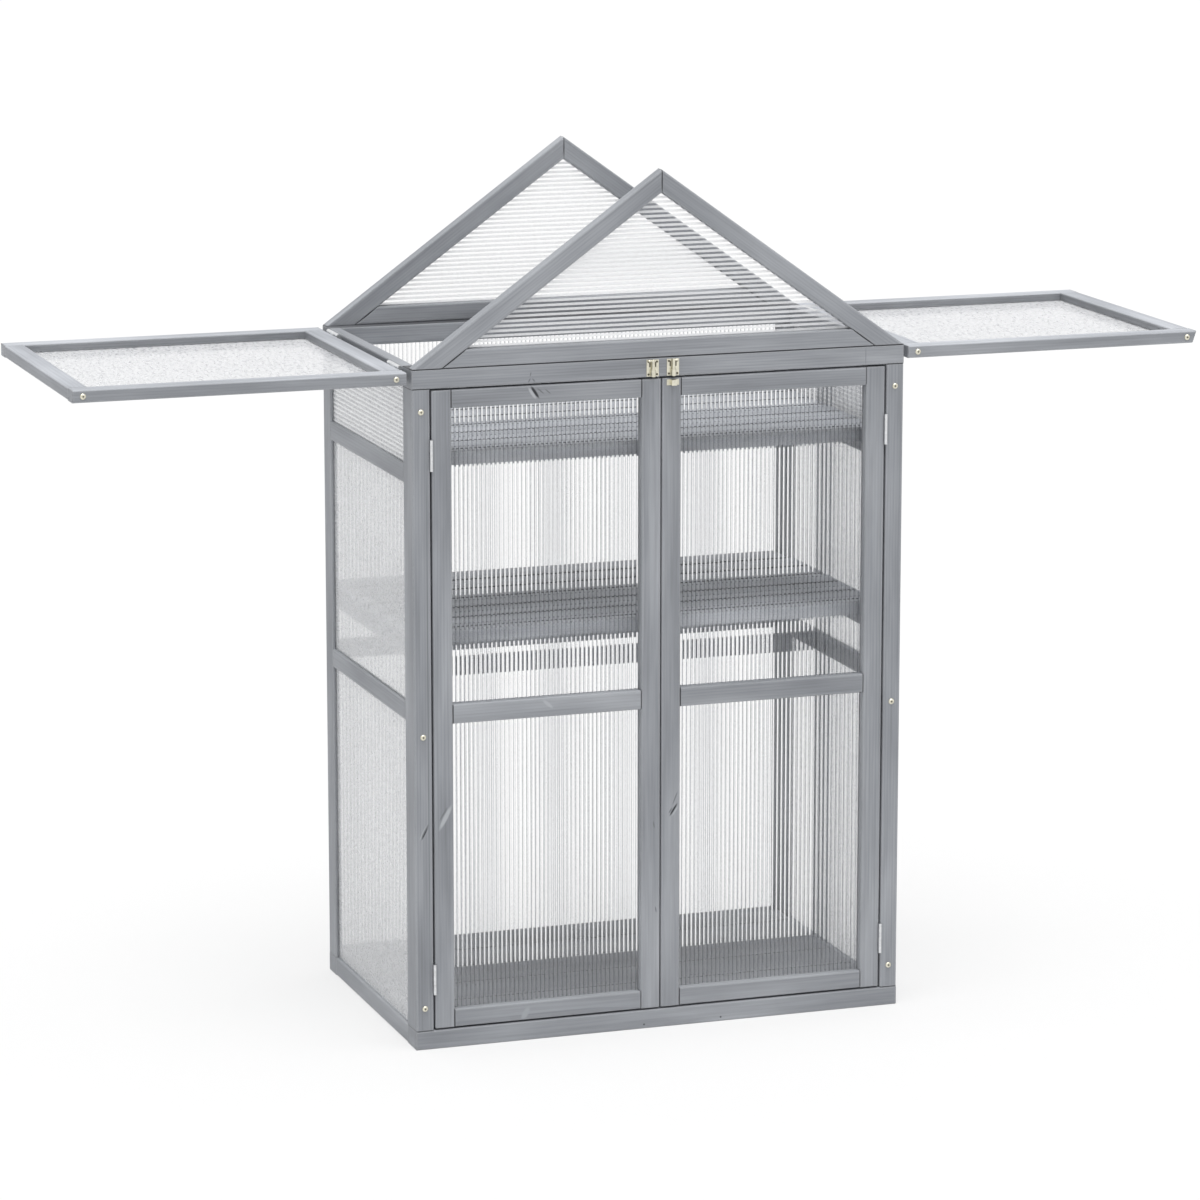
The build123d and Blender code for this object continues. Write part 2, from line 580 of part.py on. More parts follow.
for name, side in SIDES.items():
    start, end = flap_ends(name)
    screw_xs = [side * (start + FLAP_SCREW_INSET), side * (end - FLAP_SCREW_INSET)]
    groove_z = groove_of(FLAP_SHEET_Z)
    with BuildPart() as flap_rafters:
        for face_y, outward in FLAP_FACES:
            inner_y = face_y - outward * FLAP_RAIL_W
            timber(on_side(side, start, end), tuple(sorted((face_y, inner_y))), FLAP_Z, "X")
            groove_y = tuple(sorted((inner_y, inner_y + outward * GROOVE_D)))
            cut(on_side(side, start, end), groove_y, groove_z)
            for screw_x in screw_xs:
                screw_hole(screw_x, face_y, middle(FLAP_Z), FLAP_SCREW_L, outward)
        bevel_ridge_end(name)
    save(flap_rafters, f"{name}_roof_rafters")
    with BuildPart() as flap_cross_rails:
        for near, far, mouth in ((start, start + FLAP_RAIL_W, 1), (end - FLAP_RAIL_W, end, -1)):
            light_edge = far if mouth > 0 else near
            rail_x = on_side(side, near, far)
            tongue_y = grown(FLAP_LIGHT_Y, SHEET_IN)
            timber(rail_x, FLAP_LIGHT_Y, FLAP_Z, "Y")
            block(rail_x, tongue_y, tongue_of(FLAP_SHEET_Z))
            cut(on_side(side, light_edge - mouth * GROOVE_D, light_edge), tongue_y, groove_z)
        for face_y, outward in FLAP_FACES:
            for screw_x in screw_xs:
                screw_hole(screw_x, face_y, middle(FLAP_Z), FLAP_SCREW_L, outward)
        bevel_ridge_end(name)
    save(flap_cross_rails, f"{name}_roof_cross_rails")
    with BuildPart() as flap_sheet:
        light_x = on_side(side, start + FLAP_RAIL_W, end - FLAP_RAIL_W)
        block(grown(light_x, SHEET_IN), grown(FLAP_LIGHT_Y, SHEET_IN), FLAP_SHEET_Z)
    save(flap_sheet, f"{name}_roof_sheet")
    with BuildPart() as flap_screws:
        for face_y, outward in FLAP_FACES:
            for screw_x in screw_xs:
                screw(screw_x, face_y, middle(FLAP_Z), FLAP_SCREW_L, outward)
    save(flap_screws, f"{name}_roof_screws")

# Flap hinges: butt hinges between the eave and the flap's end, folded shut while the flap is open
FLAP_LEAF_TOP = FLAP_AXIS_Z - FLAP_BARREL_R - KNUCKLE_CLEAR
FLAP_KNUCKLES = knuckle_spans(FLAP_HINGE_L)


def flap_leaf(plate_x, axis_x, hinge_y, low_z, spans):
    """Adds one leaf of a flap hinge, with knuckles along the given spans."""
    block(plate_x, (hinge_y - FLAP_HINGE_L / 2, hinge_y + FLAP_HINGE_L / 2), (low_z, FLAP_LEAF_TOP))
    for low, high in spans:
        block(plate_x, (hinge_y + low, hinge_y + high), (FLAP_LEAF_TOP, FLAP_AXIS_Z))
        rod((axis_x, hinge_y + (low + high) / 2, FLAP_AXIS_Z), FLAP_BARREL_R, high - low, "Y")
    rod((axis_x, hinge_y, FLAP_AXIS_Z), FLAP_PIN_R + PIN_FIT, FLAP_HINGE_L, "Y", Mode.SUBTRACT)


FLAP_HINGE_YS = (FRONT + FLAP_HINGE_INSET, BACK - FLAP_HINGE_INSET)

with BuildPart() as roof_hinge_eave_leaves:
    for side in SIDES.values():
        for hinge_y in FLAP_HINGE_YS:
            plate_x = on_side(side, HALF_W, HALF_W + FLAP_LEAF_T)
            outer_knuckles = (FLAP_KNUCKLES[0], FLAP_KNUCKLES[2])
            flap_leaf(plate_x, side * FLAP_AXIS_X, hinge_y, BEAM_BOTTOM + FLAP_LEAF_EDGE, outer_knuckles)
save(roof_hinge_eave_leaves, "roof_hinge_eave_leaves")

with BuildPart() as roof_hinge_pins:
    for side in SIDES.values():
        for hinge_y in FLAP_HINGE_YS:
            with Locations((side * FLAP_AXIS_X, hinge_y, FLAP_AXIS_Z)):
                Cylinder(FLAP_PIN_R, FLAP_HINGE_L, rotation=(90, 0, 0))
save(roof_hinge_pins, "roof_hinge_pins")

for name, side in SIDES.items():
    with BuildPart() as roof_hinge_leaves:
        for hinge_y in FLAP_HINGE_YS:
            plate_x = on_side(side, FLAP_START - FLAP_LEAF_T, FLAP_START)
            flap_leaf(plate_x, side * FLAP_AXIS_X, hinge_y, FLAP_Z[0] + FLAP_LEAF_EDGE, (FLAP_KNUCKLES[1],))
    save(roof_hinge_leaves, f"{name}_roof_hinge_leaves")

# Door bolts: a plate with a barrel on the beam over each meeting stile, a rod that drops in front of the
# door, and a keeper on the right door. The rods are drawn up, clear of the doors.
BOLT_AXIS_Y = FRONT - BOLT_PLATE_T - BOLT_STAND_OFF - BOLT_R
BOLT_BORE_R = BOLT_R + BOLT_FIT
BOLT_PLATE_Z = (BEAM_BOTTOM + BOLT_PLATE_RISE, BEAM_BOTTOM + BOLT_PLATE_RISE + BOLT_PLATE_H)
BOLT_TIP_Z = BEAM_BOTTOM + BOLT_TIP_RISE
BOLT_TOP_Z = BOLT_TIP_Z + BOLT_L
BOLT_PLATE_Y = (FRONT - BOLT_PLATE_T, FRONT)


def barrel(x, zs):
    """Adds a rounded barrel on a bolt's plate, bored for its rod."""
    block((x - BOLT_GUIDE_R, x + BOLT_GUIDE_R), (BOLT_AXIS_Y, BOLT_PLATE_Y[0]), zs)
    rod((x, BOLT_AXIS_Y, middle(zs)), BOLT_GUIDE_R, length(zs), "Z")
    rod((x, BOLT_AXIS_Y, middle(zs)), BOLT_BORE_R, length(zs), "Z", Mode.SUBTRACT)


with BuildPart() as bolt_housings:
    for bolt_x in BOLT_X.values():
        block((bolt_x - BOLT_PLATE_W / 2, bolt_x + BOLT_PLATE_W / 2), BOLT_PLATE_Y, BOLT_PLATE_Z)
        barrel(bolt_x, (BOLT_PLATE_Z[0], BOLT_PLATE_Z[0] + BOLT_GUIDE_H))
save(bolt_housings, "bolt_housings")

for name, side in SIDES.items():
    with BuildPart() as bolt:
        rod((BOLT_X[name], BOLT_AXIS_Y, (BOLT_TIP_Z + BOLT_TOP_Z) / 2), BOLT_R, BOLT_L, "Z")
        lever_x = BOLT_X[name] + side * BOLT_LEVER_L / 2
        rod((lever_x, BOLT_AXIS_Y, BOLT_TOP_Z - BOLT_LEVER_DROP), BOLT_LEVER_R, BOLT_LEVER_L, "X")
    save(bolt, f"{name}_bolt")

with BuildPart() as keeper:
    keeper_x = BOLT_X["right"]
    keeper_z = (DOOR_Z[1] - KEEPER_DROP - KEEPER_H, DOOR_Z[1] - KEEPER_DROP)
    block((keeper_x - BOLT_PLATE_W / 2, keeper_x + BOLT_PLATE_W / 2), BOLT_PLATE_Y, keeper_z)
    slot_half = BOLT_R + KEEPER_FIT
    strap_half = slot_half + KEEPER_STRAP_T
    strap_front = BOLT_AXIS_Y - slot_half
    strap_y = (strap_front - KEEPER_STRAP_T, BOLT_PLATE_Y[0])
    block((keeper_x - strap_half, keeper_x + strap_half), strap_y, keeper_z)
    cut((keeper_x - slot_half, keeper_x + slot_half), (strap_front, BOLT_PLATE_Y[0]), keeper_z)
save(keeper, "right_door_keeper")

print(f"roof slope {SLOPE_DEG:.3f} deg, flap axis at x {FLAP_AXIS_X:.3f} z {FLAP_AXIS_Z:.3f}")
print(f"door axis at x {DOOR_AXIS_X:.3f} y {DOOR_AXIS_Y:.3f}, bolt axis y {BOLT_AXIS_Y:.3f}")
print(f"flap lengths {FLAP_L['left']:.2f} and {FLAP_L['right']:.2f}")
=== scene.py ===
"""Cold frame greenhouse: grey stained softwood, clear hollow sheet, zinc hardware."""
import math

import bmesh
import bpy
from mathutils import Matrix, Vector


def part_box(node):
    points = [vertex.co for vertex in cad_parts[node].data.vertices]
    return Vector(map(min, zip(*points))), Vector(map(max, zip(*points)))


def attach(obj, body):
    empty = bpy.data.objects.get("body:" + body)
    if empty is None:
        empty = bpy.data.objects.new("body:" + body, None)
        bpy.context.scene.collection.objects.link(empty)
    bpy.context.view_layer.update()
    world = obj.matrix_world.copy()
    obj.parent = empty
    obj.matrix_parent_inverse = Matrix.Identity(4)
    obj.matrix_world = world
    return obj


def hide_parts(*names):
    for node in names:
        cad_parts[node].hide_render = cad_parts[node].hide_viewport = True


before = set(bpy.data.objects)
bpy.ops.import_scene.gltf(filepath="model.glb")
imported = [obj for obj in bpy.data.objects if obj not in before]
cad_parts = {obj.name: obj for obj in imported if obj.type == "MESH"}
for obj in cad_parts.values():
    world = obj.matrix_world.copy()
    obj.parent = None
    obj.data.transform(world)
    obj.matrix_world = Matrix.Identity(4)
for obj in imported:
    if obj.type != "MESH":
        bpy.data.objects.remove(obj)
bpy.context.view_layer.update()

# Base frame
# Four rails lie flat on the ground and carry the posts, and three bearers run between them under the floor.
# All are planed softwood dipped in a thin grey stain that lets the grain show; two nails hold the front rail.
STAIN_DARK = (0.228, 0.239, 0.260)
STAIN_MID = (0.295, 0.308, 0.332)
STAIN_PALE = (0.376, 0.390, 0.416)
STAIN_PLACES = (0.30, 0.52, 0.74)
CLOUD_STRETCH = (3.2, 16, 16)
CLOUD_DETAIL = 3.0
FIBRE_STRETCH = (7, 260, 260)
FIBRE_DETAIL = 4.0
FIBRE_ROUGHNESS = 0.6
FIBRE_TONES = ((0.30, (0.85, 0.85, 0.85, 1)), (0.62, (1.06, 1.06, 1.06, 1)))
FIBRE_SHARE = 0.85
RING_WIDTH = 0.0042
WAVE_PERIOD = 0.314
RING_SQUEEZE = (0.05, 1, 1)
RING_BEND = 7.0
RING_BEND_DETAIL = 2.0
RING_BEND_SCALE = 0.22
RING_TONES = ((0.0, (1.05, 1.05, 1.05, 1)), (0.72, (1.0, 1.0, 1.0, 1)), (0.95, (0.84, 0.84, 0.845, 1)))
RING_SHARE = 0.8
GRAIN_STRENGTH = 0.18
GRAIN_DEPTH = 0.0004
SATIN_LEAST = 0.46
SATIN_MOST = 0.66
SATIN_GLOSS = 0.35
EDGE_ROUND = 0.0036
EDGE_SAMPLES = 3
EDGE_TURNED = 0.82
EDGE_FLAT = 0.998
# Eased edges are painted paler: a painted highlight where light catches the rounded arris.
EDGE_HIGHLIGHT = 0.8
EDGE_HIGHLIGHT_PALE = (0.53, 0.545, 0.57, 1)
CHECK_DARK = (0.035, 0.037, 0.042, 1)
MARK_DEPTH = 0.012
MARK_CORE = 0.5
NAIL_HEAD = 0.0036
NAIL_HEIGHT = 0.0068
NAIL_PLACES = (-0.0269, 0.1015)
ALONG_X = (0, 0, 0)
ALONG_Y = (0, 0, math.radians(-90))
# Numbers of a colour mix's sockets
MIX_SHARE, MIX_FIRST, MIX_SECOND, MIX_RESULT = 0, 6, 7, 2
front_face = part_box("base_rail_front")[0].y


def add_node(tree, kind, links=None, **settings):
    """Adds a node, sets its properties, and fills or links its inputs by name or number."""
    made = tree.nodes.new(kind)
    for key, value in settings.items():
        setattr(made, key, value)
    for key, value in (links or {}).items():
        if isinstance(value, bpy.types.NodeSocket):
            tree.links.new(value, made.inputs[key])
        else:
            made.inputs[key].default_value = value
    return made


def new_material(name):
    """An empty node material and its tree."""
    material = bpy.data.materials.new(name)
    material.use_nodes = True
    material.node_tree.nodes.clear()
    return material, material.node_tree


def finish_surface(tree, shader):
    """Links the last shader to the material's output."""
    add_node(tree, "ShaderNodeOutputMaterial", {"Surface": shader.outputs[0]})


def work_out(tree, operation, first, second=0.0):
    """A sum on one or two numbers."""
    return add_node(tree, "ShaderNodeMath", {0: first, 1: second}, operation=operation).outputs[0]


def ranged(tree, value, low, high, new_low, new_high, **settings):
    """Maps one range of a value onto another."""
    links = {"Value": value, "From Min": low, "From Max": high, "To Min": new_low, "To Max": new_high}
    return add_node(tree, "ShaderNodeMapRange", links, **settings).outputs[0]


def stretch(tree, place, factors):
    """Scales a pattern's coordinates along each axis."""
    return add_node(tree, "ShaderNodeVectorMath", {0: place, 1: factors}, operation="MULTIPLY").outputs[0]


def colour_ramp(tree, factor, *stops):
    """A colour ramp with (place, colour) stops."""
    ramp = add_node(tree, "ShaderNodeValToRGB", {"Fac": factor})
    elements = ramp.color_ramp.elements
    for stop in stops[1:-1]:
        elements.new(stop[0])
    for element, (place, colour) in zip(elements, stops):
        element.position = place
        element.color = colour
    return ramp.outputs["Color"]


def mix_colour(tree, factor, first, second, blend="MIX"):
    """Mixes two colours."""
    links = {MIX_SHARE: factor, MIX_FIRST: first, MIX_SECOND: second}
    return add_node(tree, "ShaderNodeMix", links, data_type="RGBA", blend_type=blend).outputs[MIX_RESULT]


def wood_mark(tree, point, x, z, length, width, lean, depth=MARK_DEPTH):
    """1 in the middle of a long oval mark on the front face, falling to 0 at its rim; lean is in degrees."""
    oval = add_node(tree, "ShaderNodeMapping", {
        "Vector": point,
        "Location": (x, front_face, z),
        "Rotation": (0, math.radians(lean), 0),
        "Scale": (length / 2, depth, width / 2),
    }, vector_type="TEXTURE")
    reach = add_node(tree, "ShaderNodeVectorMath", {0: oval.outputs[0]}, operation="LENGTH").outputs["Value"]
    return ranged(tree, reach, MARK_CORE, 1.0, 1.0, 0.0, interpolation_type="SMOOTHSTEP")


def stained_wood(name, turn, marks=(), tone=1.0):
    """Grey stained softwood; turn lays the grain along a timber, and marks are what shows on its face."""
    material, tree = new_material(name)
    place = add_node(tree, "ShaderNodeTexCoord").outputs["Object"]
    grain = add_node(tree, "ShaderNodeMapping", {"Vector": place, "Rotation": turn}).outputs[0]
    cloud = add_node(tree, "ShaderNodeTexNoise", {
        "Vector": stretch(tree, grain, CLOUD_STRETCH),
        "Scale": 1.0,
        "Detail": CLOUD_DETAIL,
    }).outputs["Fac"]
    fibre = add_node(tree, "ShaderNodeTexNoise", {
        "Vector": stretch(tree, grain, FIBRE_STRETCH),
        "Scale": 1.0,
        "Detail": FIBRE_DETAIL,
        "Roughness": FIBRE_ROUGHNESS,
    }).outputs["Fac"]
    rings = add_node(tree, "ShaderNodeTexWave", {
        "Vector": stretch(tree, grain, RING_SQUEEZE),
        "Scale": WAVE_PERIOD / RING_WIDTH,
        "Distortion": RING_BEND,
        "Detail": RING_BEND_DETAIL,
        "Detail Scale": RING_BEND_SCALE,
    }, wave_type="RINGS", rings_direction="X", wave_profile="SAW").outputs["Fac"]
    stains = [tuple(part * tone for part in stain) + (1,) for stain in (STAIN_DARK, STAIN_MID, STAIN_PALE)]
    wood = colour_ramp(tree, cloud, *zip(STAIN_PLACES, stains))
    wood = mix_colour(tree, RING_SHARE, wood, colour_ramp(tree, rings, *RING_TONES), "MULTIPLY")
    wood = mix_colour(tree, FIBRE_SHARE, wood, colour_ramp(tree, fibre, *FIBRE_TONES), "MULTIPLY")
    eased = add_node(tree, "ShaderNodeBevel", {"Radius": EDGE_ROUND}, samples=EDGE_SAMPLES).outputs[0]
    flat = add_node(tree, "ShaderNodeNewGeometry").outputs["True Normal"]
    agree = add_node(tree, "ShaderNodeVectorMath", {0: eased, 1: flat}, operation="DOT_PRODUCT")
    # Painted highlight: where the bevel normal turns away from the face, the wood is mixed towards a pale
    # colour.
    edge_highlight = ranged(tree, agree.outputs["Value"], EDGE_TURNED, EDGE_FLAT, EDGE_HIGHLIGHT, 0.0)
    wood = mix_colour(tree, edge_highlight, wood, EDGE_HIGHLIGHT_PALE)
    for *shape, colour in marks:
        wood = mix_colour(tree, wood_mark(tree, place, *shape), wood, colour)
    bump = add_node(tree, "ShaderNodeBump", {
        "Strength": GRAIN_STRENGTH,
        "Distance": GRAIN_DEPTH,
        "Height": work_out(tree, "ADD", fibre, rings),
        "Normal": eased,
    })
    finish_surface(tree, add_node(tree, "ShaderNodeBsdfPrincipled", {
        "Base Color": wood,
        "Roughness": ranged(tree, fibre, 0.0, 1.0, SATIN_LEAST, SATIN_MOST),
        "Normal": bump.outputs[0],
        "Specular IOR Level": SATIN_GLOSS,
    }))
    return material


def dress(material, *nodes):
    """Gives CAD nodes a material."""
    for node in nodes:
        slots = bpy.data.objects[node].data.materials
        slots.clear()
        slots.append(material)


nail_marks = [(x, NAIL_HEIGHT, NAIL_HEAD, NAIL_HEAD, 0, CHECK_DARK) for x in NAIL_PLACES]
wood_along_x = stained_wood("stained wood, grain across", ALONG_X)
wood_along_y = stained_wood("stained wood, grain front to back", ALONG_Y)
dress(wood_along_x, "base_rail_back")
dress(wood_along_y, "base_rail_left", "base_rail_right", "floor_bearers")
dress(stained_wood("stained wood, front base rail", ALONG_X, nail_marks), "base_rail_front")

# Posts
# Four upright posts, grooved for the wall sheets; the front pair is screwed through from the front.
# Same stained softwood, with the grain upright; the front left post has a small split knot and a thin dark
# upright line down its face.
ALONG_Z = (0, math.radians(90), 0)
KNOT_GREY = (0.165, 0.172, 0.185, 1)
FACET_PALE = (0.41, 0.425, 0.45, 1)
JOINT_DARK = (0.075, 0.078, 0.085, 1)
JOINT_WIDTH = 0.0030
JOINT_DEPTH = 1.0
FULL_WIDTH = 1.8
LEFT_POST_TONE = 0.97
# A mark is given by its x, height, length, width, lean and colour.
POST_MARKS = [
    (-0.3868, 0.3470, 0.030, 0.0040, -62, FACET_PALE),
    (-0.3844, 0.3485, 0.032, 0.0045, -62, KNOT_GREY),
    (-0.3846, 0.3450, 0.026, 0.0024, -62, CHECK_DARK),
    (-0.3779, 0.5330, 1.004, 0.0018, 90, KNOT_GREY),
]


def joint_line(x, z, length, lean, width=JOINT_WIDTH, colour=JOINT_DARK):
    """A dark joint between two timbers, seen on every face that it crosses."""
    return x, z, length, width, lean, JOINT_DEPTH, colour


post_joints = [joint_line(0, corner.z, FULL_WIDTH, 0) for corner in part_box("post_front_left")]
wood_upright = stained_wood("stained wood, grain upright", ALONG_Z, post_joints)
left_post_marks = post_joints + POST_MARKS
wood_left_post = stained_wood("stained wood, front left post", ALONG_Z, left_post_marks, LEFT_POST_TONE)
dress(wood_upright, "post_front_right", "post_back_left", "post_back_right")
dress(wood_left_post, "post_front_left")

# Top frame
# Front and back beams lie on the posts, with an eave rail between them on each side.
# Stained softwood, glued and screwed at the corners; a finger joint shows near the front beam's right end.
BEAM_TONE = 0.97
BEAM_MARKS = [
    (0.3365, 1.051, 0.036, 0.0012, 90, KNOT_GREY),
    (-0.2135, 1.0410, 0.009, 0.0026, -60, KNOT_GREY),
    (-0.2065, 1.0410, 0.009, 0.0026, 50, KNOT_GREY),
    (-0.2115, 1.0505, 0.009, 0.0020, -75, KNOT_GREY),
]
beam_joint = joint_line(0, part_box("top_beam_front")[1].z, FULL_WIDTH, 0)
wood_front_beam = stained_wood("stained wood, front beam", ALONG_X, BEAM_MARKS + [beam_joint], BEAM_TONE)
dress(wood_front_beam, "top_beam_front")
dress(stained_wood("stained wood, back beam", ALONG_X, [beam_joint]), "top_beam_back")
dress(wood_along_y, "eave_rail_left", "eave_rail_right")

# Wall rails
# Two rails on each side and one at the back, in the same stained softwood.
# They are tongued into the posts and grooved along both edges for the sheets.
dress(wood_along_y, "side_rails_left", "side_rails_right")
dress(wood_along_x, "middle_rail_back")

# Shelves and floor boards
# Two shelves of thin softwood slats nailed across battens, with a deeper lip at the front, on cleats.
# Five wider boards on the bearers make the floor. The slat and board edges in the gaps are painted darker as
# painted shade, so gaps read as dark lines.
SLAT_COUNT = 6
SLAT_GAP = 0.009
SLAT_THICKNESS = 0.010
LIP_THICKNESS = 0.012
LAST_SLAT_INSET = 0.010
EDGE_FACING = 0.7
# The shelf slats are lighter copies of the wood: painted light for the light that reaches each shelf.
SHELF_PAINTED_LIGHT = {"middle": 1.22, "top": 1.08}
FLOOR_BOARDS = 5
FLOOR_GAP = 0.004
# The floor boards are a darker copy of the wood: painted shade for the shade inside.
FLOOR_PAINTED_SHADE = 0.78
# Slat and board edges in the gaps: painted shade.
GAP_SHADE_TONE = 0.28
gap_shade_wood = stained_wood("stained wood, painted shade on slat edges", ALONG_X, tone=GAP_SHADE_TONE)


def empty_tree(name, *inputs):
    """A Geometry Nodes tree with (kind, names) inputs and a geometry output, and the input sockets."""
    tree = bpy.data.node_groups.new(name, "GeometryNodeTree")
    for kind, labels in inputs:
        for label in labels:
            tree.interface.new_socket(name=label, in_out="INPUT", socket_type="NodeSocket" + kind)
    tree.interface.new_socket(name="Geometry", in_out="OUTPUT", socket_type="NodeSocketGeometry")
    return tree, add_node(tree, "NodeGroupInput").outputs


def vector_of(tree, x=0.0, y=0.0, z=0.0):
    """A vector from three numbers."""
    return add_node(tree, "ShaderNodeCombineXYZ", {"X": x, "Y": y, "Z": z}).outputs[0]


def row_of(tree, piece, count, start, step):
    """Real copies of a piece in a straight row."""
    whole = add_node(tree, "FunctionNodeFloatToInt", {0: count}).outputs[0]
    places = {"Count": whole, "Start Location": start, "Offset": step}
    row = add_node(tree, "GeometryNodeMeshLine", places, mode="OFFSET").outputs[0]
    copies = add_node(tree, "GeometryNodeInstanceOnPoints", {"Points": row, "Instance": piece}).outputs[0]
    return add_node(tree, "GeometryNodeRealizeInstances", {0: copies}).outputs[0]


def facing(tree, axis, least):
    """1 on faces that look along an axis, either way."""
    normal = add_node(tree, "GeometryNodeInputNormal").outputs[0]
    look = add_node(tree, "ShaderNodeSeparateXYZ", {0: normal}).outputs[axis]
    return work_out(tree, "GREATER_THAN", work_out(tree, "ABSOLUTE", look), least)


def finished(tree, shape, finish, chosen=True):
    """Gives the chosen faces of a shape their finish."""
    links = {"Geometry": shape, "Selection": chosen, "Material": finish}
    return add_node(tree, "GeometryNodeSetMaterial", links).outputs[0]


def slat_tree():
    """Geometry Nodes for a row of equal slats along Y, starting at the origin, with their own edge finish."""
    tree, sizes = empty_tree("slat row", ("Float", ("Width", "Slat", "Thickness", "Pitch", "Count")),
                             ("Material", ("Face finish", "Edge finish")))
    size = vector_of(tree, sizes["Width"], sizes["Slat"], sizes["Thickness"])
    slat = add_node(tree, "GeometryNodeMeshCube", {"Size": size}).outputs["Mesh"]
    row = row_of(tree, slat, sizes["Count"], vector_of(tree), vector_of(tree, y=sizes["Pitch"]))
    faced = finished(tree, row, sizes["Face finish"])
    edged = finished(tree, faced, sizes["Edge finish"], facing(tree, "Y", EDGE_FACING))
    add_node(tree, "NodeGroupOutput", {"Geometry": edged})
    return tree


def grown_mesh(name, tree, seed_mesh=None, **values):
    """The plain mesh that a Geometry Nodes tree makes with these inputs, set by their identifiers."""
    holder = bpy.data.objects.new(name, seed_mesh or bpy.data.meshes.new(name))
    bpy.context.scene.collection.objects.link(holder)
    modifier = holder.modifiers.new("tree", "NODES")
    modifier.node_group = tree
    for item in tree.interface.items_tree:
        if item.in_out == "INPUT" and item.name in values:
            modifier[item.identifier] = values[item.name]
    shaped = holder.evaluated_get(bpy.context.evaluated_depsgraph_get())
    mesh = bpy.data.meshes.new_from_object(shaped)
    holder.modifiers.remove(modifier)
    bpy.data.objects.remove(holder)
    return mesh


def join_meshes(name, meshes):
    """One object at the origin from several placed meshes, with one slot for each material."""
    whole = bmesh.new()
    joined = bpy.data.meshes.new(name)
    for mesh in meshes:
        slots = []
        for material in mesh.materials:
            if material and material.name not in joined.materials:
                joined.materials.append(material)
            slots.append(joined.materials.find(material.name) if material else 0)
        for face in mesh.polygons:
            face.material_index = slots[face.material_index]
        whole.from_mesh(mesh)
        bpy.data.meshes.remove(mesh)
    whole.to_mesh(joined)
    whole.free()
    made = bpy.data.objects.new(name, joined)
    bpy.context.scene.collection.objects.link(made)
    return made


def fit_piece(name, meshes, body, slot, *nodes):
    """Joins meshes into a piece that rides on a body and stands for these CAD nodes."""
    made = join_meshes(name, meshes)
    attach(made, body)
    if nodes:
        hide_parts(*nodes)


slat_row = slat_tree()


def slats(low, high, slat, pitch, count, face, edge):
    """A row of slats across a box, the first against its front."""
    mesh = grown_mesh("slats", slat_row, Width=high.x - low.x, Slat=slat, Thickness=high.z - low.z,
                      Pitch=pitch, Count=float(count), **{"Face finish": face, "Edge finish": edge})
    mesh.transform(Matrix.Translation(((low.x + high.x) / 2, low.y + slat / 2, (low.z + high.z) / 2)))
    return mesh


for shelf, tone in SHELF_PAINTED_LIGHT.items():
    node = shelf + "_shelf_slats"
    wood_slat = stained_wood("stained wood, " + shelf + " shelf slats", ALONG_X, tone=tone)
    low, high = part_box(node)
    lip_back = low.y + LIP_THICKNESS
    pitch = (high.y - lip_back) / SLAT_COUNT
    slat = pitch - SLAT_GAP
    row_low = Vector((low.x, lip_back + SLAT_GAP, high.z - SLAT_THICKNESS))
    last_low = Vector((low.x + LAST_SLAT_INSET, high.y - slat, row_low.z))
    last_high = Vector((high.x - LAST_SLAT_INSET, high.y, high.z))
    rows = [
        slats(low, high, LIP_THICKNESS, LIP_THICKNESS, 1, wood_slat, wood_slat),
        slats(row_low, high, slat, pitch, SLAT_COUNT - 1, wood_slat, gap_shade_wood),
        slats(last_low, last_high, slat, pitch, 1, wood_slat, gap_shade_wood),
    ]
    fit_piece(shelf + "_shelf_boards", rows, "carcass", "grey_wood", node)
dress(wood_along_y, "middle_shelf_battens", "top_shelf_battens", "shelf_cleats")
low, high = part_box("floor_boards")
pitch = (high.y - low.y + FLOOR_GAP) / FLOOR_BOARDS
wood_floor = stained_wood("stained wood, floor boards", ALONG_X, tone=FLOOR_PAINTED_SHADE)
boards = slats(low, high, pitch - FLOOR_GAP, pitch, FLOOR_BOARDS, wood_floor, gap_shade_wood)
fit_piece("floor_planks", [boards], "carcass", "grey_wood", "floor_boards")

# Gables
# A pair of rafters mitred at the apex over a chord, front and back, in the same stained softwood.
# Each triangle is grooved on the inside for its sheet and stands on the beam below it.
SLOPE_DEGREES = 35.754
RAFTER_SLOPE = math.radians(SLOPE_DEGREES)
APEX_MIDDLE = 1.337
APEX_CUT = 0.052
CHORD_END = 0.3325
CHORD_MIDDLE = 1.080
CHORD_CUT = 0.066
apex_joint = joint_line(0, APEX_MIDDLE, APEX_CUT, 90)
left_cut = joint_line(-CHORD_END, CHORD_MIDDLE, CHORD_CUT, -SLOPE_DEGREES)
right_cut = joint_line(CHORD_END, CHORD_MIDDLE, CHORD_CUT, SLOPE_DEGREES)
wood_chord = stained_wood("stained wood, chords", ALONG_X, [left_cut, right_cut, beam_joint])
dress(wood_chord, "front_gable_chord", "back_gable_chord")
for side, slope, cut in (("left", RAFTER_SLOPE, left_cut), ("right", -RAFTER_SLOPE, right_cut)):
    joints = [apex_joint, cut, beam_joint]
    wood_rafter = stained_wood("stained wood, " + side + " rafters", (0, slope, 0), joints)
    dress(wood_rafter, "front_gable_" + side + "_rafter", "back_gable_" + side + "_rafter")

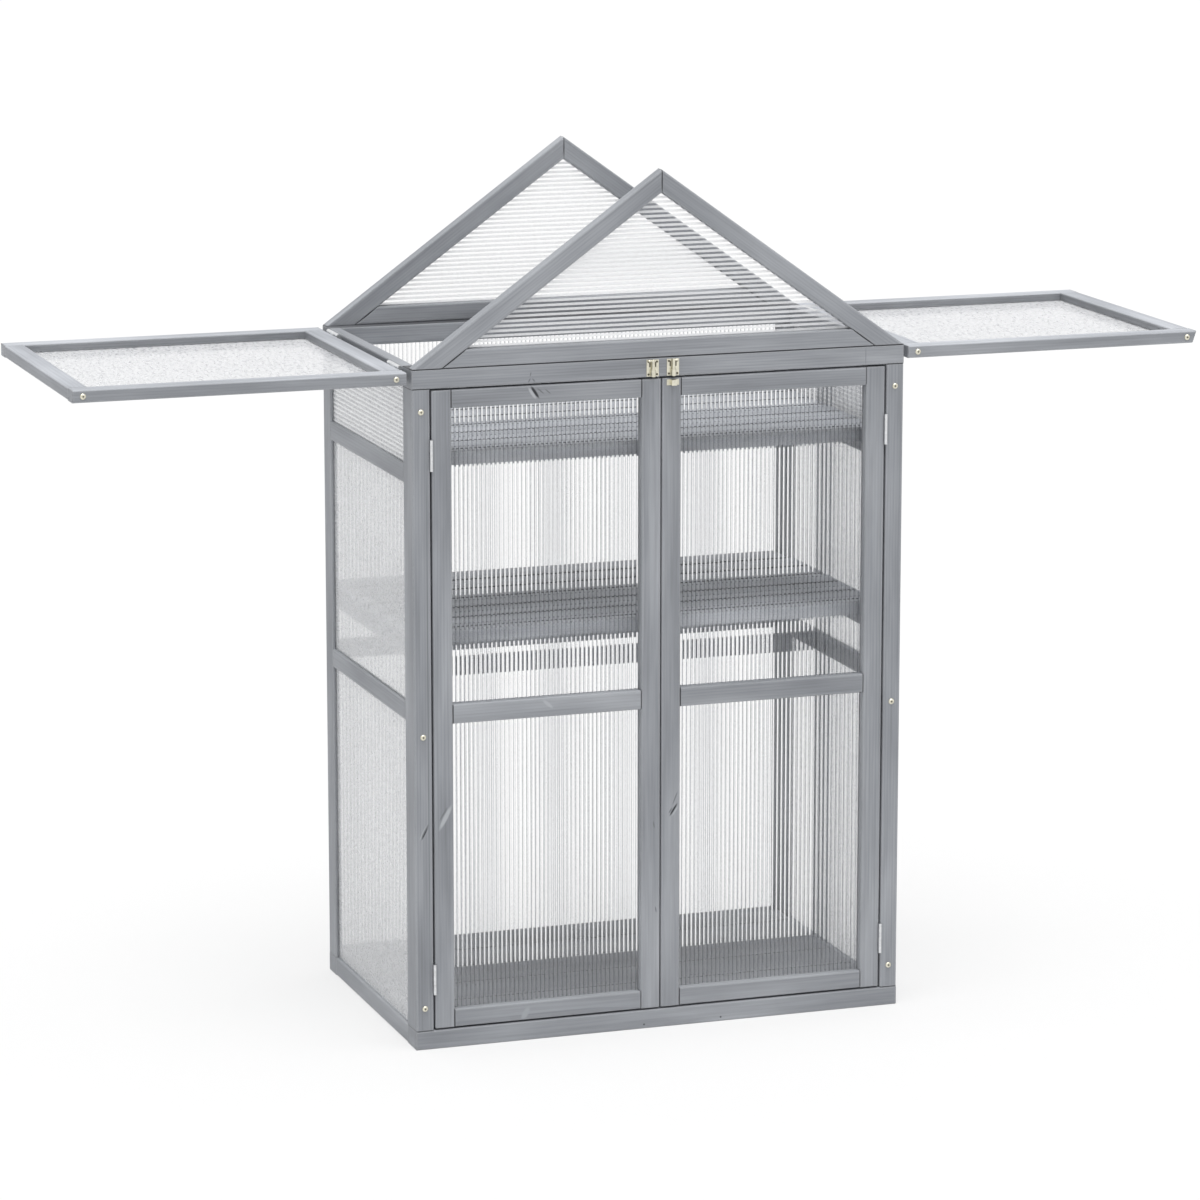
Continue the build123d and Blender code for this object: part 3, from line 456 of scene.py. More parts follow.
# Door frames
# Each door has two stiles with three rails tongued between them, hung on two butt hinges.
# Split knots show in the left top rail and the right meeting stile, and planed facets on other timbers.
FACET_GREY = (0.35, 0.365, 0.39, 1)
LEFT_RAIL_MARKS = [
    (-0.2090, 1.0210, 0.026, 0.0060, 56, FACET_PALE),
    (-0.2045, 1.0225, 0.028, 0.0058, 56, CHECK_DARK),
    (-0.1955, 1.0239, 0.018, 0.0028, 40, KNOT_GREY),
    (-0.1838, 1.0226, 0.015, 0.0022, 40, KNOT_GREY),
    (-0.1850, 0.5350, 0.026, 0.0070, 40, FACET_PALE),
    (-0.2230, 0.0430, 0.030, 0.0120, -60, FACET_GREY),
]
LEFT_STILE_MARKS = [
    (-0.3510, 0.3680, 0.052, 0.0090, -62, FACET_PALE),
    (-0.3545, 0.3740, 0.030, 0.0026, -58, KNOT_GREY),
    (-0.0112, 0.3290, 0.014, 0.0030, 80, KNOT_GREY),
    (-0.0077, 0.1920, 0.012, 0.0026, 80, KNOT_GREY),
]
RIGHT_STILE_MARKS = [
    (0.0244, 0.3488, 0.024, 0.0030, -57, FACET_PALE),
    (0.0212, 0.3507, 0.028, 0.0040, -57, CHECK_DARK),
    (0.0238, 0.3690, 0.028, 0.0024, -68, KNOT_GREY),
    (0.0163, 0.3497, 0.012, 0.0030, -57, KNOT_GREY),
]
STILE_WIDTH = 0.031
LEFT_STILE_TONE = 1.02
RIGHT_STILE_TONE = 0.97
RIGHT_RAIL_TONE = 0.94
TOP_RAIL_TONE = 0.86
TOP_RAIL_OVER = 0.9
TOP_JOINT_WIDTH = 0.0045
DOOR_MIDDLE = 0.5
FULL_HEIGHT = 2.4


def dress_faces(node, material, chosen):
    """Gives the chosen faces of a CAD node another material."""
    mesh = bpy.data.objects[node].data
    mesh.materials.append(material)
    for face in mesh.polygons:
        if chosen(face):
            face.material_index = len(mesh.materials) - 1


stiles_low, stiles_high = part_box("left_door_stiles")
hinge_end = stiles_low.x + STILE_WIDTH
meeting_end = stiles_high.x - STILE_WIDTH
left_ends = [joint_line(x, DOOR_MIDDLE, FULL_HEIGHT, 90) for x in (hinge_end, meeting_end)]
right_ends = [joint_line(-x, DOOR_MIDDLE, FULL_HEIGHT, 90) for x in (hinge_end, meeting_end)]
top_joint = joint_line(meeting_end, DOOR_MIDDLE, FULL_HEIGHT, 90, TOP_JOINT_WIDTH, CHECK_DARK)
rail_marks = LEFT_RAIL_MARKS + left_ends
door_woods = (
    ("left door stiles", ALONG_Z, LEFT_STILE_MARKS, LEFT_STILE_TONE),
    ("right door stiles", ALONG_Z, RIGHT_STILE_MARKS, RIGHT_STILE_TONE),
    ("left door rails", ALONG_X, rail_marks, 1.0),
    ("right door rails", ALONG_X, right_ends, RIGHT_RAIL_TONE),
)
for timbers, turn, marks, tone in door_woods:
    dress(stained_wood("stained wood, " + timbers, turn, marks, tone), timbers.replace(" ", "_"))
top_rail_marks = rail_marks + [top_joint]
wood_top_rail = stained_wood("stained wood, left door top rail", ALONG_X, top_rail_marks, TOP_RAIL_TONE)
dress_faces("left_door_rails", wood_top_rail, lambda face: face.center.z > TOP_RAIL_OVER)

# Roof flaps
# Each flap is a frame of two rafters and two cross rails in stained softwood around one sheet.
# The frame is screwed at its corners and hangs from the eave on two hinges, so that it swings right over.
# Its inner faces, which look up when the flap lies open, are painted paler as a painted highlight from the
# light above, and the grooved edges that face the sheet are painted darker as painted shade.
UPWARD_HIGHLIGHT_TONE = 1.38
GROOVE_SHADE_TONE = 0.80
FACING_UP = 0.7
flap_timbers = ((ALONG_X, wood_along_x, "_roof_rafters"), (ALONG_Y, wood_along_y, "_roof_cross_rails"))
for turn, outer_wood, timbers in flap_timbers:
    label = "flap" + timbers.replace("_", " ")
    # Painted highlight on the faces that look up, painted shade on the grooved edges.
    highlit_inner_wood = stained_wood("stained wood, inside of the " + label, turn, tone=UPWARD_HIGHLIGHT_TONE)
    shaded_grooved_wood = stained_wood("stained wood, grooved edges of the " + label, turn, tone=GROOVE_SHADE_TONE)
    for side in ("left", "right"):
        node = side + timbers
        middle = sum(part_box(side + "_roof_sheet"), Vector()) / 2
        dress(outer_wood, node)
        dress_faces(node, highlit_inner_wood, lambda face: face.normal.z > FACING_UP)
        dress_faces(node, shaded_grooved_wood, lambda face: abs(face.normal.z) < FACING_UP
                    and face.normal.dot(middle - face.center) > 0)

# Hollow sheets
# Clear twin-wall plastic sheet, 4 mm thick: two thin skins held apart by ribs at an even pitch.
# Each pane is slid into the grooves of its frame. Ribs bend what is seen through them, so they show as lines.
SHEET_SKIN = 0.0005
RIB_PITCH = 0.00715
RIB_FOOT = 0.0026
GABLE_RIB_FOOT = 0.0038
GABLE_TAPER = 0.98
RIB_WAIST = 0.45
RIB_FLARE = 2.0
RIB_BITE = 0.0001
RIB_STEPS = 5
FOOT_FACING = 0.9
RAIL_HEIGHT = 0.030
GROOVE_DEPTH = 0.007
SHEET_IOR = 1.586
CLEAR = (0.999, 0.999, 0.999, 1)
GLOSS_TINT = (0.9, 0.9, 0.9, 1)
GLOSS_ROUGHNESS = 0.12
GLOSS_IOR = 1.22
FOOT_TINT = (0.995, 0.995, 0.995, 1)
RIB_EDGE = (0.62, 0.63, 0.65, 1)
PALE_EDGE = (0.93, 0.935, 0.94, 1)
RIB_SHADE = (0.93, 0.93, 0.94, 1)
RIB_MILK = 0.7
RIB_GLOW = 0.2
MILK_WHITE = (0.975, 0.985, 1.0, 1)
MILK_SHADE = (0.80, 0.815, 0.84, 1)
SIDE_PEBBLES = (230, 230, 230)
SIDE_COVER = 0.25
# The roof sheet's milk is a greyer copy of the side sheets': painted shade that holds back the strong light
# from above.
ROOF_SHADED_WHITE = (0.84, 0.845, 0.86, 1)
ROOF_SHADED_SPECKLE = (0.58, 0.59, 0.615, 1)
ROOF_PEBBLES = (210, 85, 210)
ROOF_COVER = 0.32
PEBBLE_TOP = 0.35
PEBBLE_RIM = 0.80
SKIN_GLOW = 0.1
LEAST_COVER = 0.05
SQUARE_ON = 0.15
GLANCING = 0.6
GLANCE_BLEND = 0.5
X, Y, Z = 0, 1, 2


def mix_shaders(tree, factor, first, second):
    """Mixes two shader nodes."""
    return add_node(tree, "ShaderNodeMixShader", {0: factor, 1: first.outputs[0], 2: second.outputs[0]})


def for_lighting(tree):
    """1 for rays that carry light to or between surfaces, 0 for a view."""
    path = add_node(tree, "ShaderNodeLightPath").outputs
    return work_out(tree, "MAXIMUM", path["Is Shadow Ray"], path["Is Diffuse Ray"])


def passing_straight(tree):
    """1 for light and for a view that leaves the plastic, 0 for a view on its way in."""
    side = add_node(tree, "ShaderNodeNewGeometry").outputs
    return work_out(tree, "MAXIMUM", for_lighting(tree), side["Backfacing"])


def see_through(tree):
    """Clear plastic that bends nothing."""
    return add_node(tree, "ShaderNodeBsdfTransparent", {"Color": CLEAR})


def glossy_clear(tree):
    """Clear plastic with a faint gloss."""
    gloss = add_node(tree, "ShaderNodeBsdfGlossy", {"Color": GLOSS_TINT, "Roughness": GLOSS_ROUGHNESS})
    share = add_node(tree, "ShaderNodeFresnel", {"IOR": GLOSS_IOR})
    return mix_shaders(tree, share.outputs[0], see_through(tree), gloss)


def milk(tree, shade, white, pebbles, glow):
    """White scattering plastic with a fine speckle; glow is the share of light that it lets through."""
    place = add_node(tree, "ShaderNodeTexCoord").outputs["Object"]
    packed = stretch(tree, place, pebbles)
    cell = add_node(tree, "ShaderNodeTexVoronoi", {"Vector": packed, "Scale": 1.0}).outputs["Distance"]
    speckled = colour_ramp(tree, cell, (PEBBLE_TOP, white), (PEBBLE_RIM, shade))
    matt = add_node(tree, "ShaderNodeBsdfDiffuse", {"Color": speckled})
    glowing = add_node(tree, "ShaderNodeBsdfTranslucent", {"Color": speckled})
    return mix_shaders(tree, glow, matt, glowing)


def clear_skin():
    """The outer skins of a sheet that is seen through."""
    material, tree = new_material("clear sheet skin")
    finish_surface(tree, mix_shaders(tree, for_lighting(tree), glossy_clear(tree), see_through(tree)))
    return material


def frosted_skin(name, shade, white, pebbles, most):
    """Skins with a fine pebbled face, clear when seen square on and milky along the sheet."""
    material, tree = new_material(name)
    glance = add_node(tree, "ShaderNodeLayerWeight", {"Blend": GLANCE_BLEND}).outputs["Facing"]
    cover = ranged(tree, glance, SQUARE_ON, GLANCING, LEAST_COVER, most)
    seen = mix_shaders(tree, cover, glossy_clear(tree), milk(tree, shade, white, pebbles, SKIN_GLOW))
    finish_surface(tree, mix_shaders(tree, for_lighting(tree), seen, see_through(tree)))
    return material


def rib_finish(name, seen_kind, seen_settings):
    """A rib surface that changes a view on its way in and lets everything else pass."""
    material, tree = new_material(name)
    seen = add_node(tree, seen_kind, seen_settings)
    finish_surface(tree, mix_shaders(tree, passing_straight(tree), seen, see_through(tree)))
    return material


def milky_rib():
    """White ribs of the gable sheets and upper side panes, which half hide what lies behind them."""
    material, tree = new_material("milky rib")
    white = milk(tree, RIB_SHADE, MILK_WHITE, SIDE_PEBBLES, RIB_GLOW)
    seen = mix_shaders(tree, RIB_MILK, see_through(tree), white)
    finish_surface(tree, mix_shaders(tree, passing_straight(tree), seen, see_through(tree)))
    return material


bending = {"Color": FOOT_TINT, "Roughness": 0.0, "IOR": SHEET_IOR}
clear_foot = rib_finish("clear rib foot", "ShaderNodeBsdfRefraction", bending)
grey_flank = rib_finish("clear rib flank", "ShaderNodeBsdfTransparent", {"Color": RIB_EDGE})
pale_flank = rib_finish("pale rib flank", "ShaderNodeBsdfTransparent", {"Color": PALE_EDGE})
plain_skin = clear_skin()
side_skin = frosted_skin("frosted sheet skin", MILK_SHADE, MILK_WHITE, SIDE_PEBBLES, SIDE_COVER)
roof_shaded_skin = frosted_skin("frosted roof skin with painted shade", ROOF_SHADED_SPECKLE, ROOF_SHADED_WHITE, ROOF_PEBBLES, ROOF_COVER)
white_foot = milky_rib()
clear_finish = (plain_skin, clear_foot, grey_flank)
side_finish = (side_skin, clear_foot, pale_flank)
roof_finish = (roof_shaded_skin, clear_foot, grey_flank)
gable_finish = (plain_skin, white_foot, pale_flank)
upper_finish = (side_skin, white_foot, pale_flank)


def join_shapes(tree, *shapes):
    """Several shapes as one."""
    joined = add_node(tree, "GeometryNodeJoinGeometry")
    for shape in shapes:
        tree.links.new(shape, joined.inputs[0])
    return joined.outputs[0]


def raised(tree, shape, height):
    """A shape moved up."""
    links = {"Geometry": shape, "Translation": vector_of(tree, z=height)}
    return add_node(tree, "GeometryNodeTransform", links).outputs[0]


def corners_of(tree):
    """The x, y and z of each corner."""
    place = add_node(tree, "GeometryNodeInputPosition").outputs[0]
    return add_node(tree, "ShaderNodeSeparateXYZ", {0: place}).outputs


def sheet_tree():
    """Geometry Nodes for one flat pane: ribs along Y at even pitch across X, between skins, tapered in Y."""
    tree, sizes = empty_tree(
        "hollow sheet",
        ("Float", ("Across", "Along", "Thickness", "Skin", "Pitch", "Foot", "Waist", "Bite", "Taper")),
        ("Material", ("Skin finish", "Foot finish", "Flank finish")),
    )

    def plus(first, second):
        return work_out(tree, "ADD", first, second)

    def less(first, second):
        return work_out(tree, "SUBTRACT", first, second)

    def times(first, second):
        return work_out(tree, "MULTIPLY", first, second)

    def over(first, second):
        return work_out(tree, "DIVIDE", first, second)

    def reshaped(shape, x, y, z):
        links = {"Geometry": shape, "Position": vector_of(tree, x, y, z)}
        return add_node(tree, "GeometryNodeSetPosition", links).outputs[0]

    skin_size = vector_of(tree, sizes["Across"], sizes["Along"], sizes["Skin"])
    skin = add_node(tree, "GeometryNodeMeshCube", {"Size": skin_size}).outputs["Mesh"]
    lift = times(less(sizes["Thickness"], sizes["Skin"]), 0.5)
    skins = join_shapes(tree, raised(tree, skin, lift), raised(tree, skin, times(lift, -1.0)))
    skins = finished(tree, skins, sizes["Skin finish"])

    gap = less(sizes["Thickness"], times(sizes["Skin"], 2.0))
    rib_height = plus(gap, times(sizes["Bite"], 2.0))
    rib_size = vector_of(tree, sizes["Foot"], less(sizes["Along"], sizes["Bite"]), rib_height)
    rib = add_node(tree, "GeometryNodeMeshCube", {"Size": rib_size, "Vertices Z": RIB_STEPS}).outputs["Mesh"]
    spot = corners_of(tree)
    level = work_out(tree, "ABSOLUTE", over(times(spot["Z"], 2.0), rib_height))
    flare = work_out(tree, "POWER", level, RIB_FLARE)
    width = plus(sizes["Waist"], times(flare, less(1.0, sizes["Waist"])))
    rib = reshaped(rib, times(spot["X"], width), spot["Y"], spot["Z"])
    spaces = work_out(tree, "FLOOR", over(less(sizes["Across"], sizes["Foot"]), sizes["Pitch"]))
    start = vector_of(tree, times(times(spaces, sizes["Pitch"]), -0.5))
    ribs = row_of(tree, rib, plus(spaces, 1.0), start, vector_of(tree, sizes["Pitch"]))
    ribs = finished(tree, ribs, sizes["Flank finish"])
    ribs = finished(tree, ribs, sizes["Foot finish"], facing(tree, "Z", FOOT_FACING))

    spot = corners_of(tree)
    rise = plus(over(spot["X"], sizes["Across"]), 0.5)
    narrow = less(1.0, times(rise, sizes["Taper"]))
    sheet = reshaped(join_shapes(tree, skins, ribs), spot["X"], times(spot["Y"], narrow), spot["Z"])
    add_node(tree, "NodeGroupOutput", {"Geometry": sheet})
    return tree


hollow_sheet = sheet_tree()


def pane(low, high, ribs_along, finish, foot=RIB_FOOT, taper=0.0):
    """One hollow pane filling a box whose thin side sets its facing; ribs run along one axis of the box."""
    low, high = Vector(low), Vector(high)
    size = high - low
    thin = min((X, Y, Z), key=lambda axis: size[axis])
    across = X + Y + Z - thin - ribs_along
    finishes = dict(zip(("Skin finish", "Foot finish", "Flank finish"), finish))
    mesh = grown_mesh("pane", hollow_sheet, Across=size[across], Along=size[ribs_along], Thickness=size[thin],
                      Skin=SHEET_SKIN, Pitch=RIB_PITCH, Foot=foot, Waist=RIB_WAIST, Bite=RIB_BITE,
                      Taper=taper, **finishes)
    turn = Matrix.Identity(4)
    for column, axis in enumerate((across, ribs_along, thin)):
        for line in (X, Y, Z):
            turn[line][column] = 1.0 if line == axis else 0.0
    turned_over = turn.determinant() < 0
    if turned_over:
        turn[thin][Z] = -1.0
    mesh.transform(Matrix.Translation((low + high) / 2) @ turn)
    return mesh


def levels(low, high, *rails):
    """The heights that panes fill between rails, with their edges in the grooves."""
    spans = []
    start = low
    for rail_low, rail_high in rails:
        spans.append((start, rail_low + GROOVE_DEPTH))
        start = rail_high - GROOVE_DEPTH
    return spans + [(start, high)]


def wall_panes(node, rails, ribs):
    """Panes one above another between rails, filling a sheet node's box; ribs are (axis, finish) pairs."""
    low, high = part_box(node)
    panes = []
    for (bottom, top), rib in zip(levels(low.z, high.z, *rails), ribs):
        panes.append(pane((low.x, low.y, bottom), (high.x, high.y, top), *rib))
    return panes


side_rails_low, side_rails_high = (corner.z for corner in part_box("side_rails_left"))
middle_rail = (side_rails_low, side_rails_low + RAIL_HEIGHT)
upper_rail = (side_rails_high - RAIL_HEIGHT, side_rails_high)
back_rail = [corner.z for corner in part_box("middle_rail_back")]
for side in ("left", "right"):
    node = "side_sheets_" + side
    ribs = ((Z, side_finish), (Z, side_finish), (Y, upper_finish))
    panes = wall_panes(node, (middle_rail, upper_rail), ribs)
    fit_piece("side_glazing_" + side, panes, "carcass", "clear_sheet", node)
    node = side + "_door_sheets"
    panes = wall_panes(node, (middle_rail,), [(Z, clear_finish)] * 2)
    fit_piece(side + "_door_glazing", panes, side + "_door", "clear_sheet", node)
    node = side + "_roof_sheet"
    panes = [pane(*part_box(node), X, roof_finish)]
    fit_piece(side + "_roof_glazing", panes, side + "_roof", "clear_sheet", node)
panes = wall_panes("back_sheets", (back_rail,), [(Z, clear_finish)] * 2)
fit_piece("back_glazing", panes, "carcass", "clear_sheet", "back_sheets")
for end in ("front", "back"):
    node = end + "_gable_sheet"
    panes = [pane(*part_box(node), X, gable_finish, GABLE_RIB_FOOT, GABLE_TAPER)]
    fit_piece(end + "_gable_glazing", panes, "carcass", "clear_sheet", node)

# Hinges
# Steel butt hinges: three-knuckle leaves folded round a loose pin, bright zinc plated.
# Door leaves are let in between door and post, and roof leaves lie between flap and eave rail.
ZINC = (0.80, 0.81, 0.82, 1)
ZINC_ROUGHNESS = 0.32
CLOUDING_SCALE = 180.0
CLOUDING_DETAIL = 3.0
CLOUDING_LOW = 0.35
CLOUDING_HIGH = 0.65
CLOUDING_TONE = 0.82
CLOUDING_ROUGHNESS = 0.08


def plated_steel(name, colour, rough):
    """Zinc plated steel with faint clouding."""
    material, tree = new_material(name)
    cloud = add_node(tree, "ShaderNodeTexNoise", {
        "Vector": add_node(tree, "ShaderNodeTexCoord").outputs["Object"],
        "Scale": CLOUDING_SCALE,
        "Detail": CLOUDING_DETAIL,
    }).outputs["Fac"]
    shade = tuple(part * CLOUDING_TONE for part in colour[:3]) + (1,)
    finish_surface(tree, add_node(tree, "ShaderNodeBsdfPrincipled", {
        "Base Color": colour_ramp(tree, cloud, (CLOUDING_LOW, shade), (CLOUDING_HIGH, colour)),
        "Metallic": 1.0,
        "Roughness": ranged(tree, cloud, 0.0, 1.0, rough - CLOUDING_ROUGHNESS, rough + CLOUDING_ROUGHNESS),
    }))
    return material


bright_zinc = plated_steel("bright zinc", ZINC, ZINC_ROUGHNESS)
dress(bright_zinc, "left_door_hinge_leaves", "right_door_hinge_leaves", "door_hinge_post_leaves",
      "door_hinge_pins", "left_roof_hinge_leaves", "right_roof_hinge_leaves", "roof_hinge_eave_leaves",
      "roof_hinge_pins")

# Bolts
# Two small barrel bolts on the front beam: a stamped plate, a rolled sleeve and a rod with a lever.
# All are steel in pale yellow passivated zinc, with two dark slots beside each rod as painted shade; a keeper
# on the right door takes the right rod.
PASSIVATE = (0.80, 0.77, 0.64, 1)
PASSIVATE_ROUGHNESS = 0.36
RECESS_SHADE = (0.15, 0.135, 0.10, 1)
RECESS_ROUGHNESS = 0.6
PLATE_WIDTH = 0.020
PLATE_THICKNESS = 0.001
EASE = 0.0003
EASE_STEPS = 2
EASE_ROUND = 0.5
SLEEVE_RADIUS = 0.004
SLEEVE_BORE = 0.0028
SLEEVE_HEIGHT = 0.0105
ROD_RADIUS = 0.0025
LEVER_RADIUS = 0.0015
KNOB_RADIUS = 0.0021
SLOT_HALF = 0.0011
SLOT_OFFSET = 0.0046
SLOT_LOW = 0.0145
SLOT_HIGH = 0.0225
TURNED_SIDES = 24
MERGE_WITHIN = 1e-7
passivated_zinc = plated_steel("yellow passivated zinc", PASSIVATE, PASSIVATE_ROUGHNESS)
recess_shade = plated_steel("painted recess shade", RECESS_SHADE, RECESS_ROUGHNESS)


def plain_mesh(name, shape, finish):
    """A mesh with one finish from a shape that is then let go."""
    mesh = bpy.data.meshes.new(name)
    shape.to_mesh(mesh)
    shape.free()
    mesh.materials.append(finish)
    return mesh


def block(low, high, ease, finish):
    """A box with eased edges."""
    low, high = Vector(low), Vector(high)
    place = Matrix.Translation((low + high) / 2) @ Matrix.Diagonal((*(high - low), 1.0))
    shape = bmesh.new()
    bmesh.ops.create_cube(shape, size=1.0, matrix=place)
    bmesh.ops.bevel(shape, geom=shape.edges[:], offset=ease, segments=EASE_STEPS, profile=EASE_ROUND,
                    affect="EDGES")
    return plain_mesh("block", shape, finish)


def turned(profile, place, finish):
    """A turned shape from (radius, height) points about Z, set in place by a matrix."""
    shape = bmesh.new()
    rings = []
    for radius, height in profile:
        angles = [2 * math.pi * step / TURNED_SIDES for step in range(TURNED_SIDES if radius else 1)]
        rings.append([shape.verts.new((radius * math.cos(a), radius * math.sin(a), height)) for a in angles])
    for lower, upper in zip(rings, rings[1:]):
        for step in range(TURNED_SIDES):
            following = (step + 1) % TURNED_SIDES
            corners = (lower[step % len(lower)], lower[following % len(lower)],
                       upper[following % len(upper)], upper[step % len(upper)])
            shape.faces.new(dict.fromkeys(corners))
    bmesh.ops.remove_doubles(shape, verts=shape.verts[:], dist=MERGE_WITHIN)
    mesh = plain_mesh("turned", shape, finish)
    mesh.transform(place)
    return mesh


housing_low, housing_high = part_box("bolt_housings")
plate_front = front_face - PLATE_THICKNESS
sleeve = [(SLEEVE_BORE, 0), (SLEEVE_RADIUS, 0), (SLEEVE_RADIUS, SLEEVE_HEIGHT), (SLEEVE_BORE, SLEEVE_HEIGHT),
          (SLEEVE_BORE, 0)]
housings = []
for side, outward in (("left", -1), ("right", 1)):
    low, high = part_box(side + "_bolt")
    rod_x = high.x - ROD_RADIUS if outward < 0 else low.x + ROD_RADIUS
    rod_y = (low.y + high.y) / 2
    plate_x = housing_low.x if outward < 0 else housing_high.x - PLATE_WIDTH
    # Two dark slots beside each rod: painted shade where the sleeve is cut away.
    for slot_x in (rod_x - SLOT_OFFSET, rod_x + SLOT_OFFSET):
        slot_low = (slot_x - SLOT_HALF, plate_front - EASE, housing_low.z + SLOT_LOW)
        slot_high = (slot_x + SLOT_HALF, plate_front + EASE, housing_low.z + SLOT_HIGH)
        housings.append(block(slot_low, slot_high, EASE / 2, recess_shade))
    plate_low = (plate_x, plate_front, housing_low.z)
    plate_high = (plate_x + PLATE_WIDTH, front_face, housing_high.z)
    housings.append(block(plate_low, plate_high, EASE, passivated_zinc))
    housings.append(turned(sleeve, Matrix.Translation((rod_x, rod_y, housing_low.z)), passivated_zinc))
    length = high.z - low.z
    rod = [(0, 0), (ROD_RADIUS - EASE, 0), (ROD_RADIUS, EASE), (ROD_RADIUS, length - EASE),
           (ROD_RADIUS - EASE, length), (0, length)]
    reach = high.x - low.x - ROD_RADIUS
    lever = [(0, 0), (LEVER_RADIUS, 0), (LEVER_RADIUS, reach - 2 * KNOB_RADIUS),
             (KNOB_RADIUS, reach - KNOB_RADIUS), (LEVER_RADIUS, reach), (0, reach)]
    lever_place = (Matrix.Translation((rod_x, rod_y, high.z - KNOB_RADIUS))
                   @ Matrix.Rotation(outward * math.pi / 2, 4, "Y"))
    pieces = [turned(rod, Matrix.Translation((rod_x, rod_y, low.z)), passivated_zinc),
              turned(lever, lever_place, passivated_zinc)]
    fit_piece(side + "_bolt_rod", pieces, side + "_bolt", "passivated_steel", side + "_bolt")
fit_piece("bolt_plates", housings, "carcass", "passivated_steel", "bolt_housings")
dress(passivated_zinc, "right_door_keeper")

# Screws
# Pan-head screws with a cross recess fix the front posts, the flap corners and the bolt plates.
# They are driven flush against the wood, in the same pale yellow zinc, with painted shade in the cross
# recess; the small plate screws are wholly in that painted shade.
SCREW_RADIUS = 0.0045
SCREW_HEIGHT = 0.002
SMALL_RADIUS = 0.0017
SMALL_HEIGHT = 0.0007
SMALL_INSET = 0.0032
POST_SCREW_MIDDLE = 0.497
FACING_FRONT = (math.pi / 2, 0, 0)
FACING_BACK = (-math.pi / 2, 0, 0)
HEAD_SIDES = 24
HEAD_RIM = 0.5
CROWN = 0.72
CROSS_ARM = 0.42
CROSS_WIDTH = 0.12
CROSS_LEVEL = 0.985
CROSS_DEPTH = 0.06


def screw_tree():
    """Geometry Nodes for pan heads on points: a flat rim, a crowned top and a cross recess."""
    tree, sizes = empty_tree("screw heads", ("Geometry", ("Points",)), ("Float", ("Radius", "Height")),
                             ("Vector", ("Turn",)), ("Material", ("Steel", "Recess")))

    def share(size, factor):
        return work_out(tree, "MULTIPLY", sizes[size], factor)

    def disc(top, depth):
        links = {"Vertices": HEAD_SIDES, "Radius Top": top, "Radius Bottom": sizes["Radius"], "Depth": depth}
        return add_node(tree, "GeometryNodeMeshCone", links).outputs["Mesh"]

    rim = disc(sizes["Radius"], share("Height", HEAD_RIM))
    crown = disc(share("Radius", CROWN), share("Height", 1 - HEAD_RIM))
    head = join_shapes(tree, rim, raised(tree, crown, share("Height", HEAD_RIM)))
    # The cross is a thin box in the recess colour on the crown: painted shade for the recess.
    arms = []
    for long_axis, short_axis in (("x", "y"), ("y", "x")):
        spans = {
            long_axis: share("Radius", 2 * CROSS_ARM),
            short_axis: share("Radius", 2 * CROSS_WIDTH),
            "z": share("Height", CROSS_DEPTH),
        }
        arm = add_node(tree, "GeometryNodeMeshCube", {"Size": vector_of(tree, **spans)}).outputs["Mesh"]
        arms.append(raised(tree, arm, share("Height", CROSS_LEVEL)))
    screw = join_shapes(tree, finished(tree, head, sizes["Steel"]),
                        finished(tree, join_shapes(tree, *arms), sizes["Recess"]))
    links = {"Points": sizes["Points"], "Instance": screw, "Rotation": sizes["Turn"]}
    heads = add_node(tree, "GeometryNodeInstanceOnPoints", links).outputs[0]
    real = add_node(tree, "GeometryNodeRealizeInstances", {0: heads}).outputs[0]
    add_node(tree, "NodeGroupOutput", {"Geometry": real})
    return tree


screw_heads = screw_tree()


def screws(places, turn, radius=SCREW_RADIUS, height=SCREW_HEIGHT, steel=passivated_zinc):
    """Screw heads on these places, all facing one way."""
    points = bpy.data.meshes.new("screw places")
    points.from_pydata(places, [], [])
    return grown_mesh("screws", screw_heads, points, Radius=radius, Height=height, Turn=turn, Steel=steel,
                      Recess=recess_shade)


low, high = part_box("post_screws")
columns = (low.x + SCREW_RADIUS, high.x - SCREW_RADIUS)
rows = (low.z + SCREW_RADIUS, POST_SCREW_MIDDLE, high.z - SCREW_RADIUS)
places = [(x, front_face, z) for x in columns for z in rows]
fit_piece("post_screw_heads", [screws(places, FACING_FRONT)], "carcass", "passivated_steel", "post_screws")
for side in ("left", "right"):
    node = side + "_roof_screws"
    low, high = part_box(node)
    columns = (low.x + SCREW_RADIUS, high.x - SCREW_RADIUS)
    middle = (low.z + high.z) / 2
    frame_low, frame_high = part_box(side + "_roof_rafters")
    meshes = []
    for face, turn in ((frame_low.y, FACING_FRONT), (frame_high.y, FACING_BACK)):
        meshes.append(screws([(x, face, middle) for x in columns], turn))
    fit_piece(side + "_roof_screw_heads", meshes, side + "_roof", "passivated_steel", node)
places = []
for plate_x in (housing_low.x, housing_high.x - PLATE_WIDTH):
    for x in (plate_x + SMALL_INSET, plate_x + PLATE_WIDTH - SMALL_INSET):
        for z in (housing_low.z + SMALL_INSET, housing_high.z - SMALL_INSET):
            places.append((x, plate_front, z))
# The small plate screws are wholly in the recess colour: painted shade on their heads.
small = screws(places, FACING_FRONT, SMALL_RADIUS, SMALL_HEIGHT, recess_shade)
fit_piece("bolt_plate_screws", [small], "carcass", "passivated_steel")

